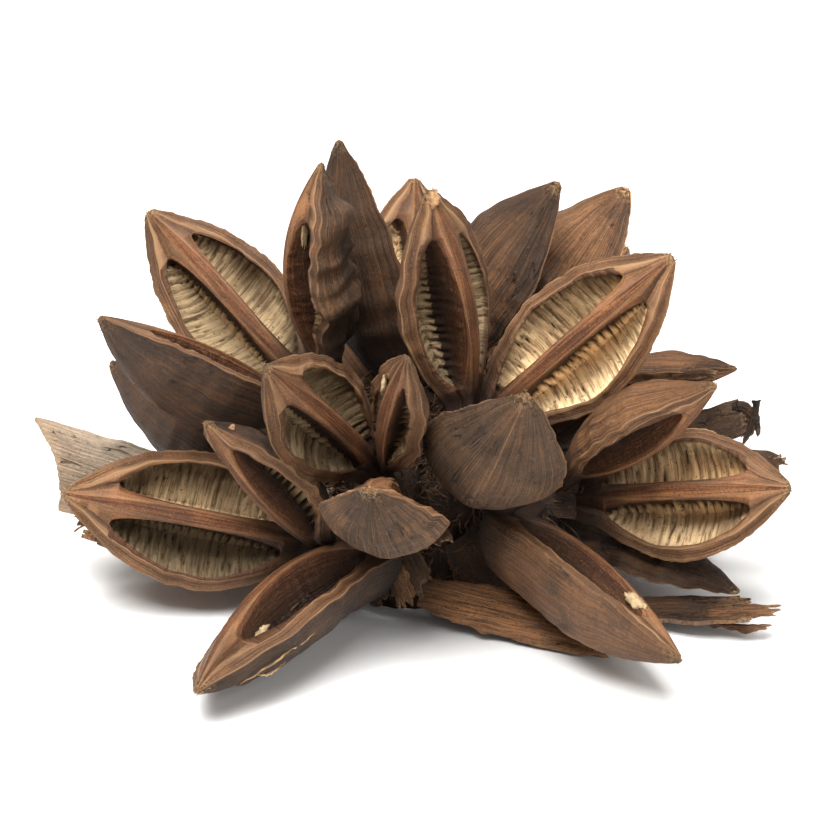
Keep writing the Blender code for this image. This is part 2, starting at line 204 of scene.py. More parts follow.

# Small torn pieces of bract and husk between the capsules, by their wood, written like the bracts.
# The dark ones near the stalk also fill gaps where there is only shade: painted shade
SCRAPS = {
    "dark": [
        ("hook", [(104, 38, 51), (111, 37, 53), (112, 36, 43)], (0, -.9, .2), 4, 1, .2, 0, 2, 21),
        ("hook_foot", [(112, 37, 54), (112, 36, 46), (108, 36, 40)], (.3, -.9, 0), 3, 1, .2, 0, 2, 22),
        ("end", [(106, 11, 43), (111, 10, 45), (115, 9, 40)], (-.2, -.9, .3), 8, 2, .3, 0, 2.5, 23),
        ("behind_stalk", [(16, -4, 25), (24, -3, 14), (31, -1, 4)], (.3, -.9, .3), 24, 3, .3, 0, 3, 24),
        ("under_upper", [(36, 8, 45), (48, 10, 53), (60, 12, 60)], (.3, -.8, -.4), 13, 3, .3, 0, 2, 25),
        ("beside_low", [(-1, -30, 42), (3, -40, 48), (8, -50, 43)], (.2, -.7, .6), 9, 2, .2, 0, 2, 26),
        ("under_low", [(-8, -12, 32), (-4, -20, 24), (1, -23, 14)], (0, -.9, .3), 12, 3, .3, 0, 3, 27),
        ("right_gap", [(30, -4, 40), (44, -3, 40), (58, 2, 34)], (0, -.8, .5), 14, 3, .3, 0, 3, 28),
        ("splinter", [(50, -31, 7), (53, -35, 5), (53, -40, 2)], (0, -.5, .9), 2.4, 0, .1, 0, 1, 29),
        ("low_fold", [(60, 22, 14), (80, 9, 17), (95, -1, 19)], (0, -.6, .8), 11, 3, .4, 0, 4, 30),
        ("inner_shard", [(-33, -40, 21), (-40, -51, 19), (-46, -60, 17)], (-.5, .3, .8), 3, 1, .1, 0, 3, 40),
        ("stalk_skin", [(-17, -3, 16), (-14, -9, 10), (-10, -12, 5)], (-.4, -.9, 0), 10, 2, .4, 0, 3, 38),
    ],
    "brown": [
        ("left_end", [(-92, 2, 27.5), (-100, -2, 30), (-105, -5, 29)], (0, -.9, -.2), 6, 1, .3, 0, 2, 31),
        ("left_end_low", [(-86, 2, 22), (-93, 0, 21), (-98, -2, 21.5)], (0, -.9, -.2), 5, 1, .3, 0, 2, 32),
        ("side_top", [(84, 37, 63), (92, 35, 66), (98, 33, 65)], (0, -.8, .5), 3, 1, .1, 0, 1, 33),
        ("splint_long", [(88, -22, 6), (100, -27, 9), (112, -29, 11)], (0, -.5, .9), 4, 1, .3, 0, 3, 35),
        ("splint_short", [(92, -25, 4), (102, -29, 5), (109, -31, 6)], (0, -.5, .9), 3, 1, .3, 0, 3, 36),
        ("under_root", [(-10, -18, 26), (-5, -24, 19), (-2, -26, 11)], (-.3, -.9, .2), 7, 2, .5, 0, 3, 37),
        ("over_low", [(-19, -36, 50), (-12, -40, 57), (-5, -38, 56)], (0, -.8, .6), 8, 3, .1, 0, 2, 39),
    ],
}

# How light the large and the small pieces of each wood are; the scraps are darker, as painted
# shade in the middle of the head
BRACT_TONE = {"pale": 1.0, "brown": 1.0, "dark": 0.8}
SCRAP_TONE = {"brown": 0.75, "dark": 0.6}

# Loose bits of seed paper and worn pale tips: middle, long axis and half sizes in millimetres
PAPER_BITS = [
    ((-44.6, -63.0, 20.0), (.5, .85, .2), (1.5, 1.2, 3.2)),
    ((66.2, -60.2, 28.7), (.5, -.9, -.2), (2.2, 1.4, 4.4)),
    ((-8.3, -45.6, 92.0), (.1, -.1, 1), (1.2, .8, 3.2)),
    ((-33.3, 14.6, 119.2), (.05, -.05, 1), (1.4, .8, 5.0)),
]
WORN_TIPS = [
    ((5.9, -5.0, 135.8), (.2, .1, 1), (2.9, 2.1, 2.6)),
    ((-54.2, -34.6, 73.3), (.4, .2, .8), (1.2, .9, 1.4)),
]

# Pale veins on the back of the left capsule's front valve: their paths, and how thick they are
VEINS = [([(-50.3, -77.4, 10.0), (-45.7, -78.6, 14.0), (-40.9, -75.4, 15.9), (-35.7, -71.6, 18.6),
           (-31.5, -67.1, 19.3), (-27.7, -63.3, 21.0)], 0.38),
         ([(-45.7, -78.6, 14.0), (-43.0, -77.0, 12.6), (-40.4, -74.4, 12.8), (-37.4, -71.6, 14.6)], 0.30)]


def linear(hex_colour):
    """An sRGB hex colour as linear red, green, blue and alpha."""
    values = [int(hex_colour[i:i + 2], 16) / 255 for i in (0, 2, 4)]
    return [v / 12.92 if v <= 0.04045 else ((v + 0.055) / 1.055) ** 2.4 for v in values] + [1.0]


def length_property(name, description, default):
    return bpy.props.FloatProperty(name=name, description=description, default=default,
                                   unit="LENGTH", min=0.0, precision=5)


def colour_property(name, description, hex_colour):
    return bpy.props.FloatVectorProperty(name=name, description=description, subtype="COLOR",
                                         size=4, min=0.0, max=1.0, default=linear(hex_colour))


class FruitHeadSizes(bpy.types.PropertyGroup):
    """Sizes of the head's fine shapes."""
    rib_pitch: length_property("Rib pitch", "Distance between the cross ribs of a seed chamber", 0.0027)
    rib_height: length_property("Rib height", "How far a cross rib stands up from the lining", 0.0009)
    rib_wave: length_property("Rib wave", "How far the ribs wander sideways", 0.0016)
    rim_band: length_property("Rim band", "Width of the bare wood between a chamber and the rim", 0.0040)
    crease: length_property("Husk creases", "Depth of the creases and dents in the husk", 0.0011)
    bract_pitch: length_property("Bract ridges", "Distance between the long ridges of a bract", 0.0013)
    fibre_length: length_property("Fibre length", "Length of the longest hairs at the capsules' roots", 0.016)
    fray_length: length_property("Fray length", "Length of the splinters at a valve's tip", 0.0026)


class FruitHeadColours(bpy.types.PropertyGroup):
    """Colours of the dry wood, its lining and its fibres."""
    husk_brown: colour_property("Brown husk", "Weathered husk of most valves", "785233")
    husk_dark: colour_property("Dark husk", "Husk of the darkest valves", "523823")
    husk_grey: colour_property("Grey husk", "Husk weathered greyish", "644830")
    husk_warm: colour_property("Orange patches", "Patches where the husk's skin has worn off", "9a6436")
    husk_bleached: colour_property("Grey patches", "Patches of bleached skin", "4c3e33")
    bract_pale: colour_property("Pale bract", "Bract bleached nearly white", "c0aa92")
    wood: colour_property("Inner wood", "Bare wood of the ridge", "7c4c2c")
    wood_streak: colour_property("Wood streaks", "Orange streaks in the bare wood", "a26b3f")
    rim_line: colour_property("Rim line", "Pale worn line along the rims", "a07a56")
    lining: colour_property("Lining", "Papery lining on the ribs", "f3d09f")
    lining_groove: colour_property("Lining grooves", "Between the ribs", "4a3019")
    bark: colour_property("Stem bark", "Fibrous dark bark of the stem", "2a1c12")
    fibre: colour_property("Fibres", "Loose fibres among the roots", "46301d")
    fray: colour_property("Frayed wood", "Pale splinters at tips and torn ends", "a5835c")
    floor: colour_property("Floor", "Studio floor", "f6f5f3")


def sizes():
    return bpy.context.scene.fruit_head_sizes


def colours():
    return bpy.context.scene.fruit_head_colours


def add_node(tree, kind, inputs=None, **settings):
    """A node with its settings, and each input given a value or linked to a node or socket."""
    made = tree.nodes.new(kind)
    for key, value in settings.items():
        setattr(made, key, value)
    for key, value in (inputs or {}).items():
        if isinstance(value, bpy.types.Node):
            value = value.outputs[0]
        if isinstance(value, bpy.types.NodeSocket):
            tree.links.new(value, made.inputs[key])
        else:
            made.inputs[key].default_value = value
    return made


def math_of(tree, operation, *values):
    return add_node(tree, "ShaderNodeMath", dict(enumerate(values)), operation=operation)


def product(tree, first, *others):
    for other in others:
        first = math_of(tree, "MULTIPLY", first, other)
    return first


def vector_of(tree, vector, operation, other):
    """A vector changed by another one, or scaled by a number or field."""
    key = "Scale" if operation == "SCALE" else 1
    return add_node(tree, "ShaderNodeVectorMath", {0: vector, key: other}, operation=operation).outputs[0]


def between(tree, value, low, high, to_low=0.0, to_high=1.0, kind="SMOOTHSTEP"):
    """Goes from one value to another while a field goes from low to high."""
    inputs = {0: value, 1: low, 2: high, 3: to_low, 4: to_high}
    return add_node(tree, "ShaderNodeMapRange", inputs, interpolation_type=kind).outputs[0]


# ---------------------------------------------------------------- materials


def new_material(name):
    """An empty material with its shader and output, or None and the material if it exists."""
    if name in bpy.data.materials:
        return None, None, bpy.data.materials[name]
    material = bpy.data.materials.new(name)
    material.use_nodes = True
    tree = material.node_tree
    return tree, tree.nodes["Principled BSDF"], material


def stretch(tree, along, across, detail=4.0, rough=0.6, warp=0.0):
    """Noise drawn out along the grain: so many features to a metre along it and across it."""
    grain = add_node(tree, "ShaderNodeAttribute", attribute_name="grain").outputs["Vector"]
    scaled = vector_of(tree, grain, "MULTIPLY", (along, across, across))
    inputs = {"Vector": scaled, "Scale": 1.0, "Detail": detail, "Roughness": rough, "Distortion": warp}
    return add_node(tree, "ShaderNodeTexNoise", inputs).outputs[0]


def speckle(tree, scale, detail=3.0, rough=0.6):
    """Noise in the object's own place, so many features to a metre."""
    place = add_node(tree, "ShaderNodeTexCoord").outputs["Object"]
    inputs = {"Vector": place, "Scale": scale, "Detail": detail, "Roughness": rough}
    return add_node(tree, "ShaderNodeTexNoise", inputs).outputs[0]


def mixed(tree, factor, first, second, blend="MIX"):
    inputs = {0: factor, 6: first, 7: second}
    return add_node(tree, "ShaderNodeMix", inputs, data_type="RGBA", blend_type=blend).outputs[2]


def painted(tree, colour, layers):
    """Colours laid over a first one. A layer has a field, two values of it, how much of its
    colour shows at each of them, and the colour."""
    for field, low, high, at_low, at_high, over in layers:
        colour = mixed(tree, between(tree, field, low, high, at_low, at_high), colour, over)
    return colour


def finished(tree, shader, colour, rough, specular):
    """Gives a shader its colour and roughness and a fixed gloss."""
    tree.links.new(colour, shader.inputs["Base Color"])
    tree.links.new(rough, shader.inputs["Roughness"])
    shader.inputs["Specular IOR Level"].default_value = specular


def bumped(tree, shader, height, distance, strength):
    inputs = {"Height": height, "Distance": distance, "Strength": strength}
    bump = add_node(tree, "ShaderNodeBump", inputs)
    tree.links.new(bump.outputs[0], shader.inputs["Normal"])


def attribute(tree, name):
    return add_node(tree, "ShaderNodeAttribute", attribute_name=name).outputs["Fac"]


def shade(colour, factor):
    """A colour made lighter or darker by a factor."""
    return [min(1.0, channel * factor) for channel in colour[:3]] + [1.0]


def worn_pale(tree, colour, worn, crumbs):
    """Pale worn wood along the edges, and frayed specks at the tip."""
    colour = mixed(tree, product(tree, attribute(tree, "edge"), worn), colour, colours().rim_line)
    frayed = product(tree, attribute(tree, "tip"), between(tree, crumbs, 0.46, 0.58))
    return mixed(tree, frayed, colour, colours().fray)


def husk_material(kind):
    """Dry fruit husk, split and weathered: dull, with fine fibres that run to the tip, orange and
    grey patches drawn out along them, dark stains, and thin cracks between the fibres."""
    tree, shader, material = new_material("weathered_husk_" + kind)
    if tree is None:
        return material
    base = {"brown": colours().husk_brown, "dark": colours().husk_dark, "grey": colours().husk_grey,
            "pale": colours().bract_pale}[kind]
    # fibres lie 0.3 mm apart, and darker bundles of them 1 mm apart
    fibres = stretch(tree, 34, 3000, 3.0, 0.55)
    bands = stretch(tree, 26, 1000, 3.0, 0.65, 0.2)
    patches = stretch(tree, 45, 80, 4.0, 0.68, 0.9)
    cracks = stretch(tree, 26, 150, 3.0, 0.55, 0.5)
    stains = speckle(tree, 42, 4.0, 0.62)
    crumbs = speckle(tree, 900, 3.0, 0.7)
    warm, grey = colours().husk_warm, colours().husk_bleached
    light, dark = 2.0, 0.26
    if kind == "pale":
        warm, grey, light, dark = shade(base, 1.1), shade(base, 0.8), 1.25, 0.50
    colour = mixed(tree, between(tree, stains, 0.36, 0.60), shade(base, 0.44), shade(base, 1.15))
    apart = math_of(tree, "ABSOLUTE", math_of(tree, "SUBTRACT", cracks, 0.5))
    apart = math_of(tree, "MULTIPLY_ADD", between(tree, stains, 0.42, 0.56), 0.03, apart)
    colour = painted(tree, colour, [
        (patches, 0.54, 0.70, 0.0, 0.34, warm),
        (patches, 0.46, 0.33, 0.0, 0.50, grey),
        (bands, 0.36, 0.52, 0.34, 0.0, shade(base, 0.35)),
        (fibres, 0.53, 0.62, 0.0, 0.45, shade(base, light)),
        (fibres, 0.49, 0.41, 0.0, 0.72, shade(base, dark)),
        # painted shade in the furrows between a bract's ridges
        (attribute(tree, "furrow"), -0.15, -0.75, 0.0, 0.7, shade(base, 0.20)),
        (apart, 0.010, 0.003, 0.0, 0.85, shade(base, 0.12)),
        (crumbs, 0.58, 0.70, 0.0, 0.40, shade(base, light * 1.1)),
        (crumbs, 0.44, 0.34, 0.0, 0.55, shade(base, 0.2)),
    ])
    colour = worn_pale(tree, colour, between(tree, crumbs, 0.35, 0.6, 0.1, 0.8), crumbs)
    # painted shade: darker towards the root, where the valves crowd round the stalk
    colour = mixed(tree, attribute(tree, "root"), colour, shade(base, 0.12))
    if kind != "pale":
        colour = mixed(tree, 1.0, colour, attribute(tree, "tone"), "MULTIPLY")
    finished(tree, shader, colour, between(tree, fibres, 0.3, 0.7, 0.58, 0.80), 0.35)
    height = math_of(tree, "MULTIPLY_ADD", crumbs, 0.5, math_of(tree, "MULTIPLY_ADD", bands, 0.7, fibres))
    height = math_of(tree, "ADD", height, between(tree, apart, 0.0, 0.012))
    bumped(tree, shader, height, 0.0010, 1.0)
    return material


def wood_material():
    """Bare inner wood, split along the grain: smooth and faintly glossy, red-brown with orange
    streaks on the ridge, duller and browner on the rims, with a thin worn line at its edges."""
    tree, shader, material = new_material("split_inner_wood")
    if tree is None:
        return material
    wood, husk = colours().wood, colours().husk_brown
    # grain lines lie 0.35 mm apart, and darker bundles of them 1 mm apart
    streaks = stretch(tree, 40, 2800, 2.0, 0.55)
    bands = stretch(tree, 30, 950, 3.0, 0.65, 0.3)
    long = stretch(tree, 22, 260, 3.0, 0.6, 0.4)
    crumbs = speckle(tree, 1500, 3.0, 0.75)
    patches = speckle(tree, 70, 4.0, 0.6)
    ridge = mixed(tree, between(tree, patches, 0.36, 0.64), shade(wood, 0.50), shade(wood, 1.10))
    ridge = mixed(tree, between(tree, long, 0.50, 0.66, 0.0, 0.60), ridge, colours().wood_streak)
    flank = mixed(tree, between(tree, crumbs, 0.40, 0.62), shade(wood, 0.16), shade(wood, 0.62))
    ridge = mixed(tree, attribute(tree, "flank"), ridge, flank)
    ridge = mixed(tree, between(tree, streaks, 0.54, 0.64, 0.0, 0.45), ridge, colours().wood_streak)
    band = mixed(tree, between(tree, patches, 0.38, 0.62), shade(husk, 0.42), shade(husk, 0.95))
    band = mixed(tree, between(tree, streaks, 0.55, 0.66, 0.0, 0.40), band, colours().rim_line)
    colour = painted(tree, mixed(tree, attribute(tree, "rim"), ridge, band), [
        (bands, 0.48, 0.36, 0.0, 0.60, shade(wood, 0.30)),
        (streaks, 0.49, 0.40, 0.0, 0.70, shade(wood, 0.30)),
        (crumbs, 0.58, 0.70, 0.0, 0.35, shade(colours().rim_line, 1.1)),
        (crumbs, 0.49, 0.38, 0.0, 0.62, shade(wood, 0.2)),
    ])
    colour = worn_pale(tree, colour, between(tree, bands, 0.38, 0.55, 0.35, 0.95), crumbs)
    # painted shade along the foot of the ridge inside each chamber
    colour = mixed(tree, attribute(tree, "deep"), colour, shade(wood, 0.10))
    # painted shade: darker towards the root, where the valves crowd round the stalk
    colour = mixed(tree, attribute(tree, "root"), colour, shade(wood, 0.12))
    colour = mixed(tree, 1.0, colour, attribute(tree, "tone"), "MULTIPLY")
    finished(tree, shader, colour, between(tree, streaks, 0.3, 0.7, 0.52, 0.72), 0.32)
    height = math_of(tree, "MULTIPLY_ADD", crumbs, 0.35, math_of(tree, "MULTIPLY_ADD", bands, 0.9, streaks))
    bumped(tree, shader, height, 0.0007, 0.9)
    return material


def lining_material():
    """Papery lining dried onto the chamber wall in broad pleats: silky cream on their crests,
    browner between them, partly its own colour and partly painted highlight and shade, with dark
    slits, small pits and fine threads that run across."""
    tree, shader, material = new_material("dried_chamber_lining")
    if tree is None:
        return material
    paper, groove = colours().lining, colours().lining_groove
    # real threads are about 0.3 mm apart, drawn at 0.6 mm
    threads = stretch(tree, 1700, 70, 3.0, 0.6)
    strands = stretch(tree, 700, 60, 2.0, 0.5)
    crumbs = speckle(tree, 800, 3.0, 0.7)
    patches = speckle(tree, 95, 4.0, 0.65)
    stains = speckle(tree, 36, 2.0, 0.5)
    # paler on the rib crests and darker between them: partly the lining's own colour, partly painted highlight and
    # shade
    crest = math_of(tree, "MULTIPLY_ADD", patches, 1.3, product(tree, attribute(tree, "rib"), 0.55))
    colour = mixed(tree, between(tree, crest, 0.50, 1.00), shade(paper, 0.34), shade(paper, 1.05))
    colour = painted(tree, colour, [
        (stains, 0.52, 0.38, 0.0, 0.60, shade(groove, 1.6)),
        (strands, 0.48, 0.34, 0.0, 0.50, shade(groove, 1.4)),
        (threads, 0.47, 0.34, 0.0, 0.55, shade(groove, 1.1)),
        (threads, 0.56, 0.70, 0.0, 0.45, shade(paper, 1.25)),
        (crumbs, 0.40, 0.32, 0.0, 0.85, shade(groove, 0.45)),
    ])
    # painted shade under the upper rims, where the rims overhang the lining, mixed with dark mottling;
    # towards the rim the lining turns to dark wood colour, partly bare wood where the skin has come off
    # and partly painted shade under the rim's lip
    rim_shade_and_mottle = product(tree, attribute(tree, "shelter"), between(tree, patches, 0.62, 0.42, 0.30, 0.90))
    colour = mixed(tree, rim_shade_and_mottle, colour, shade(groove, 0.9))
    colour = mixed(tree, attribute(tree, "slit"), colour, shade(groove, 0.35))
    # near black where the lining is missing: the bare wall, darkened as painted shade in the narrow ends of the mouths
    colour = mixed(tree, attribute(tree, "layer"), shade(groove, 0.40), colour)
    # painted shade: darker towards the root, where the valves crowd round the stalk
    colour = mixed(tree, attribute(tree, "root"), colour, shade(groove, 0.30))
    # how light each lining is: partly its own colour, partly painted light and shade
    colour = mixed(tree, 1.0, colour, attribute(tree, "paper"), "MULTIPLY")
    # darker towards the rim: partly bare wood, partly painted shade under the rim's lip
    bare = between(tree, attribute(tree, "room"), 0.0, 0.9, 0.85, 0.0)
    colour = mixed(tree, bare, colour, shade(colours().wood, 0.40))
    finished(tree, shader, colour, between(tree, threads, 0.3, 0.7, 0.46, 0.66), 0.28)
    height = math_of(tree, "MULTIPLY_ADD", strands, 1.5, math_of(tree, "MULTIPLY_ADD", crumbs, 0.5, threads))
    bumped(tree, shader, height, 0.0006, 0.8)
    return material


def bark_material():
    """Fibrous bark of the stem: nearly black-brown, matt, with coarse upright fibres."""
    tree, shader, material = new_material("fibrous_stem_bark")
    if tree is None:
        return material
    bark = colours().bark
    fibres = stretch(tree, 60, 900, 4.0, 0.65)
    patches = speckle(tree, 90, 4.0, 0.65)
    colour = mixed(tree, between(tree, patches, 0.35, 0.65), shade(bark, 0.45), shade(bark, 1.2))
    colour = mixed(tree, between(tree, fibres, 0.52, 0.72, 0.0, 0.7), colour, colours().fibre)
    finished(tree, shader, colour, between(tree, fibres, 0.3, 0.7, 0.75, 0.95), 0.25)
    bumped(tree, shader, math_of(tree, "ADD", fibres, patches), 0.001, 0.8)
    return material


def fibre_material(name, colour):
    """Torn plant fibre: thin, dry and matt, with lighter and darker lengths."""
    tree, shader, material = new_material(name)
    if tree is None:
        return material
    lengths = speckle(tree, 260, 3.0, 0.6)
    tone = mixed(tree, between(tree, lengths, 0.35, 0.65), shade(colour, 0.45), shade(colour, 1.25))
    finished(tree, shader, tone, between(tree, lengths, 0.3, 0.7, 0.6, 0.85), 0.3)
    return material


def floor_material():
    """Painted studio board: matt and almost white, with a faint roller texture."""
    tree, shader, material = new_material("painted_studio_floor")
    if tree is None:
        return material
    paint = speckle(tree, 400, 3.0, 0.6)
    floor = colours().floor
    tree.links.new(mixed(tree, paint, shade(floor, 0.985), floor), shader.inputs["Base Color"])
    shader.inputs["Roughness"].default_value = 0.9
    shader.inputs["Specular IOR Level"].default_value = 0.1
    bumped(tree, shader, paint, 0.0002, 0.2)
    return material


# ---------------------------------------------------------------- mesh and node helpers


def mesh_object(name, vertices, faces, attributes):
    """An object from vertices in metres, whose attributes give domain, kind and values by name."""
    mesh = bpy.data.meshes.new(name)
    mesh.from_pydata(vertices.tolist(), [], faces)
    bm = bmesh.new()
    bm.from_mesh(mesh)
    bmesh.ops.recalc_face_normals(bm, faces=bm.faces)
    bm.to_mesh(mesh)
    bm.free()
    for key, (domain, kind, values) in attributes.items():
        field = mesh.attributes.new(key, kind, domain)
        field.data.foreach_set("vector" if kind == "FLOAT_VECTOR" else "value", np.ascontiguousarray(values).ravel())
    mesh.shade_smooth()
    obj = bpy.data.objects.new(name, mesh)
    bpy.context.scene.collection.objects.link(obj)
    return obj


def grid_faces(rows, columns, closed):
    """Quads of a grid, whose columns meet again where it is closed."""
    faces = []
    last = columns if closed else columns - 1
    for row in range(rows - 1):
        start = row * columns
        for column in range(last):
            beside = (column + 1) % columns
            faces.append((start + column, start + beside, start + columns + beside, start + columns + column))
    return faces


def capped_faces(shift, rows, sides):
    """Faces of a tube of rings with an end face at each end, whose points begin at shift."""
    ends = [range(sides - 1, -1, -1), range((rows - 1) * sides, rows * sides)]
    return [tuple(shift + v for v in face) for face in grid_faces(rows, sides, True) + ends]


def with_tree(obj, tree, values):
    """Puts a node tree on an object and sets its inputs by their identifiers."""
    modifier = obj.modifiers.new(tree.name, "NODES")
    modifier.node_group = tree
    for item in tree.interface.items_tree:
        if item.item_type == "SOCKET" and item.in_out == "INPUT" and item.name in values:
            modifier[item.identifier] = values[item.name]
    return modifier


def made_plain(obj, name):
    """The evaluated object as a plain mesh object, in place of the one with modifiers."""
    bpy.context.view_layer.update()
    graph = bpy.context.evaluated_depsgraph_get()
    mesh = bpy.data.meshes.new_from_object(obj.evaluated_get(graph), preserve_all_data_layers=True,
                                           depsgraph=graph)
    mesh.name = name
    bpy.data.objects.remove(obj, do_unlink=True)
    plain = bpy.data.objects.new(name, mesh)
    bpy.context.scene.collection.objects.link(plain)
    return plain


def new_tree(name, inputs):
    """A geometry node tree with named inputs, and its input and output nodes."""
    tree = bpy.data.node_groups.new(name, "GeometryNodeTree")
    tree.interface.new_socket("Geometry", in_out="INPUT", socket_type="NodeSocketGeometry")
    for label, kind in inputs:
        tree.interface.new_socket(label, in_out="INPUT", socket_type=kind)
    tree.interface.new_socket("Geometry", in_out="OUTPUT", socket_type="NodeSocketGeometry")
    return tree, add_node(tree, "NodeGroupInput"), add_node(tree, "NodeGroupOutput")


def named(tree, name, kind="FLOAT"):
    return add_node(tree, "GeometryNodeInputNamedAttribute", {"Name": name}, data_type=kind).outputs[0]


def noise_in(tree, vector, scale, detail=2.0):
    """Noise about zero, from -0.5 to 0.5."""
    inputs = {"Vector": vector, "Scale": scale, "Detail": detail}
    return math_of(tree, "SUBTRACT", add_node(tree, "ShaderNodeTexNoise", inputs), 0.5)


def stored(tree, geometry, **fields):
    """Keeps fields on a geometry's points, each under its name."""
    for name, field in fields.items():
        geometry = add_node(tree, "GeometryNodeStoreNamedAttribute",
                            {"Geometry": geometry, "Name": name, "Value": field},
                            data_type="FLOAT", domain="POINT")
    return geometry


def random_size(tree, smallest, seed):
    """A random share for each point, from the smallest up to 1."""
    inputs = {2: smallest, 3: 1.0, "Seed": seed}
    return add_node(tree, "FunctionNodeRandomValue", inputs, data_type="FLOAT").outputs[1]


def random_turn(tree, turn, tilt, roll, seed):
    """A rotation tilted and rolled at random about its own axes, up to so many radians."""
    inputs = {0: (-tilt, -tilt, -roll), 1: (tilt, tilt, roll), "Seed": seed}
    angles = add_node(tree, "FunctionNodeRandomValue", inputs, data_type="FLOAT_VECTOR")
    angles = add_node(tree, "FunctionNodeEulerToRotation", {0: angles})
    return add_node(tree, "FunctionNodeRotateRotation", {0: turn, 1: angles}, rotation_space="LOCAL")


def coloured(tree, geometry, material, chosen=True):
    """Gives a geometry's chosen faces a material."""
    inputs = {"Geometry": geometry, "Selection": chosen, "Material": material}
    return add_node(tree, "GeometryNodeSetMaterial", inputs)


def splinters(tree, geometry, density, seed, length, thick, vector):
    """Pointed splinters scattered on a surface, that lie roughly along a vector."""
    points = add_node(tree, "GeometryNodeDistributePointsOnFaces",
                      {"Mesh": geometry, "Density": density, "Seed": seed})
    cone = add_node(tree, "GeometryNodeMeshCone",
                    {"Vertices": 3, "Radius Top": 0.0, "Radius Bottom": thick, "Depth": length})
    turn = add_node(tree, "FunctionNodeAlignRotationToVector", {"Vector": vector}, axis="Z")
    placed = add_node(tree, "GeometryNodeInstanceOnPoints",
                      {"Points": points.outputs["Points"], "Instance": cone,
                       "Rotation": random_turn(tree, turn, 0.55, 3.0, seed),
                       "Scale": random_size(tree, 0.35, seed)})
    return add_node(tree, "GeometryNodeRealizeInstances", {"Geometry": placed})


# ---------------------------------------------------------------- valves


def body_radius(share, base):
    """Radius at shares of the length: it swells from the root and narrows to the tip."""
    swell = base + (1 - base) * np.sin(0.5 * math.pi * np.clip(share, 0, WIDEST) / WIDEST)
    swell = swell * (1 - 0.62 * np.clip(-share / NECK, 0, 1) ** 1.5)
    rest = np.clip((share - WIDEST) / (1 - WIDEST), 0, 1)
    return np.where(share < WIDEST, swell, TIP + (1 - TIP) * (1 - rest ** TAPER))


def valve_stations():
    """Shares of the length where a section stands, closer at the ends of the mouths."""
    sweep = np.linspace(-1, 1, MOUTH_STATIONS)
    sweep = 0.6 * sweep + 0.4 * np.sin(0.5 * math.pi * sweep)
    mouth = MOUTH_FROM + (MOUTH_TO - MOUTH_FROM) * 0.5 * (1 + sweep)
    neck = np.linspace(-1, 0, NECK_STATIONS)[:-1] * NECK
    root = np.linspace(0, MOUTH_FROM, ROOT_STATIONS)[:-1]
    tip = np.linspace(MOUTH_TO, 1, TIP_STATIONS)[1:]
    return np.concatenate([neck, root, mouth, tip])


def waves(draw, share, count, height):
    """A smooth random line over shares of a length: a sum of a few sines."""
    line = np.zeros_like(share)
    for number in range(1, count + 1):
        turns = number * (0.8 + 0.5 * draw.random())
        line += np.sin(2 * math.pi * (turns * share + draw.random())) / number ** 0.7
    return line * height


def line_between(first, last, shares):
    """Points on straight lines, one line to a station."""
    return first[:, None] + (last - first)[:, None] * shares[None, :]


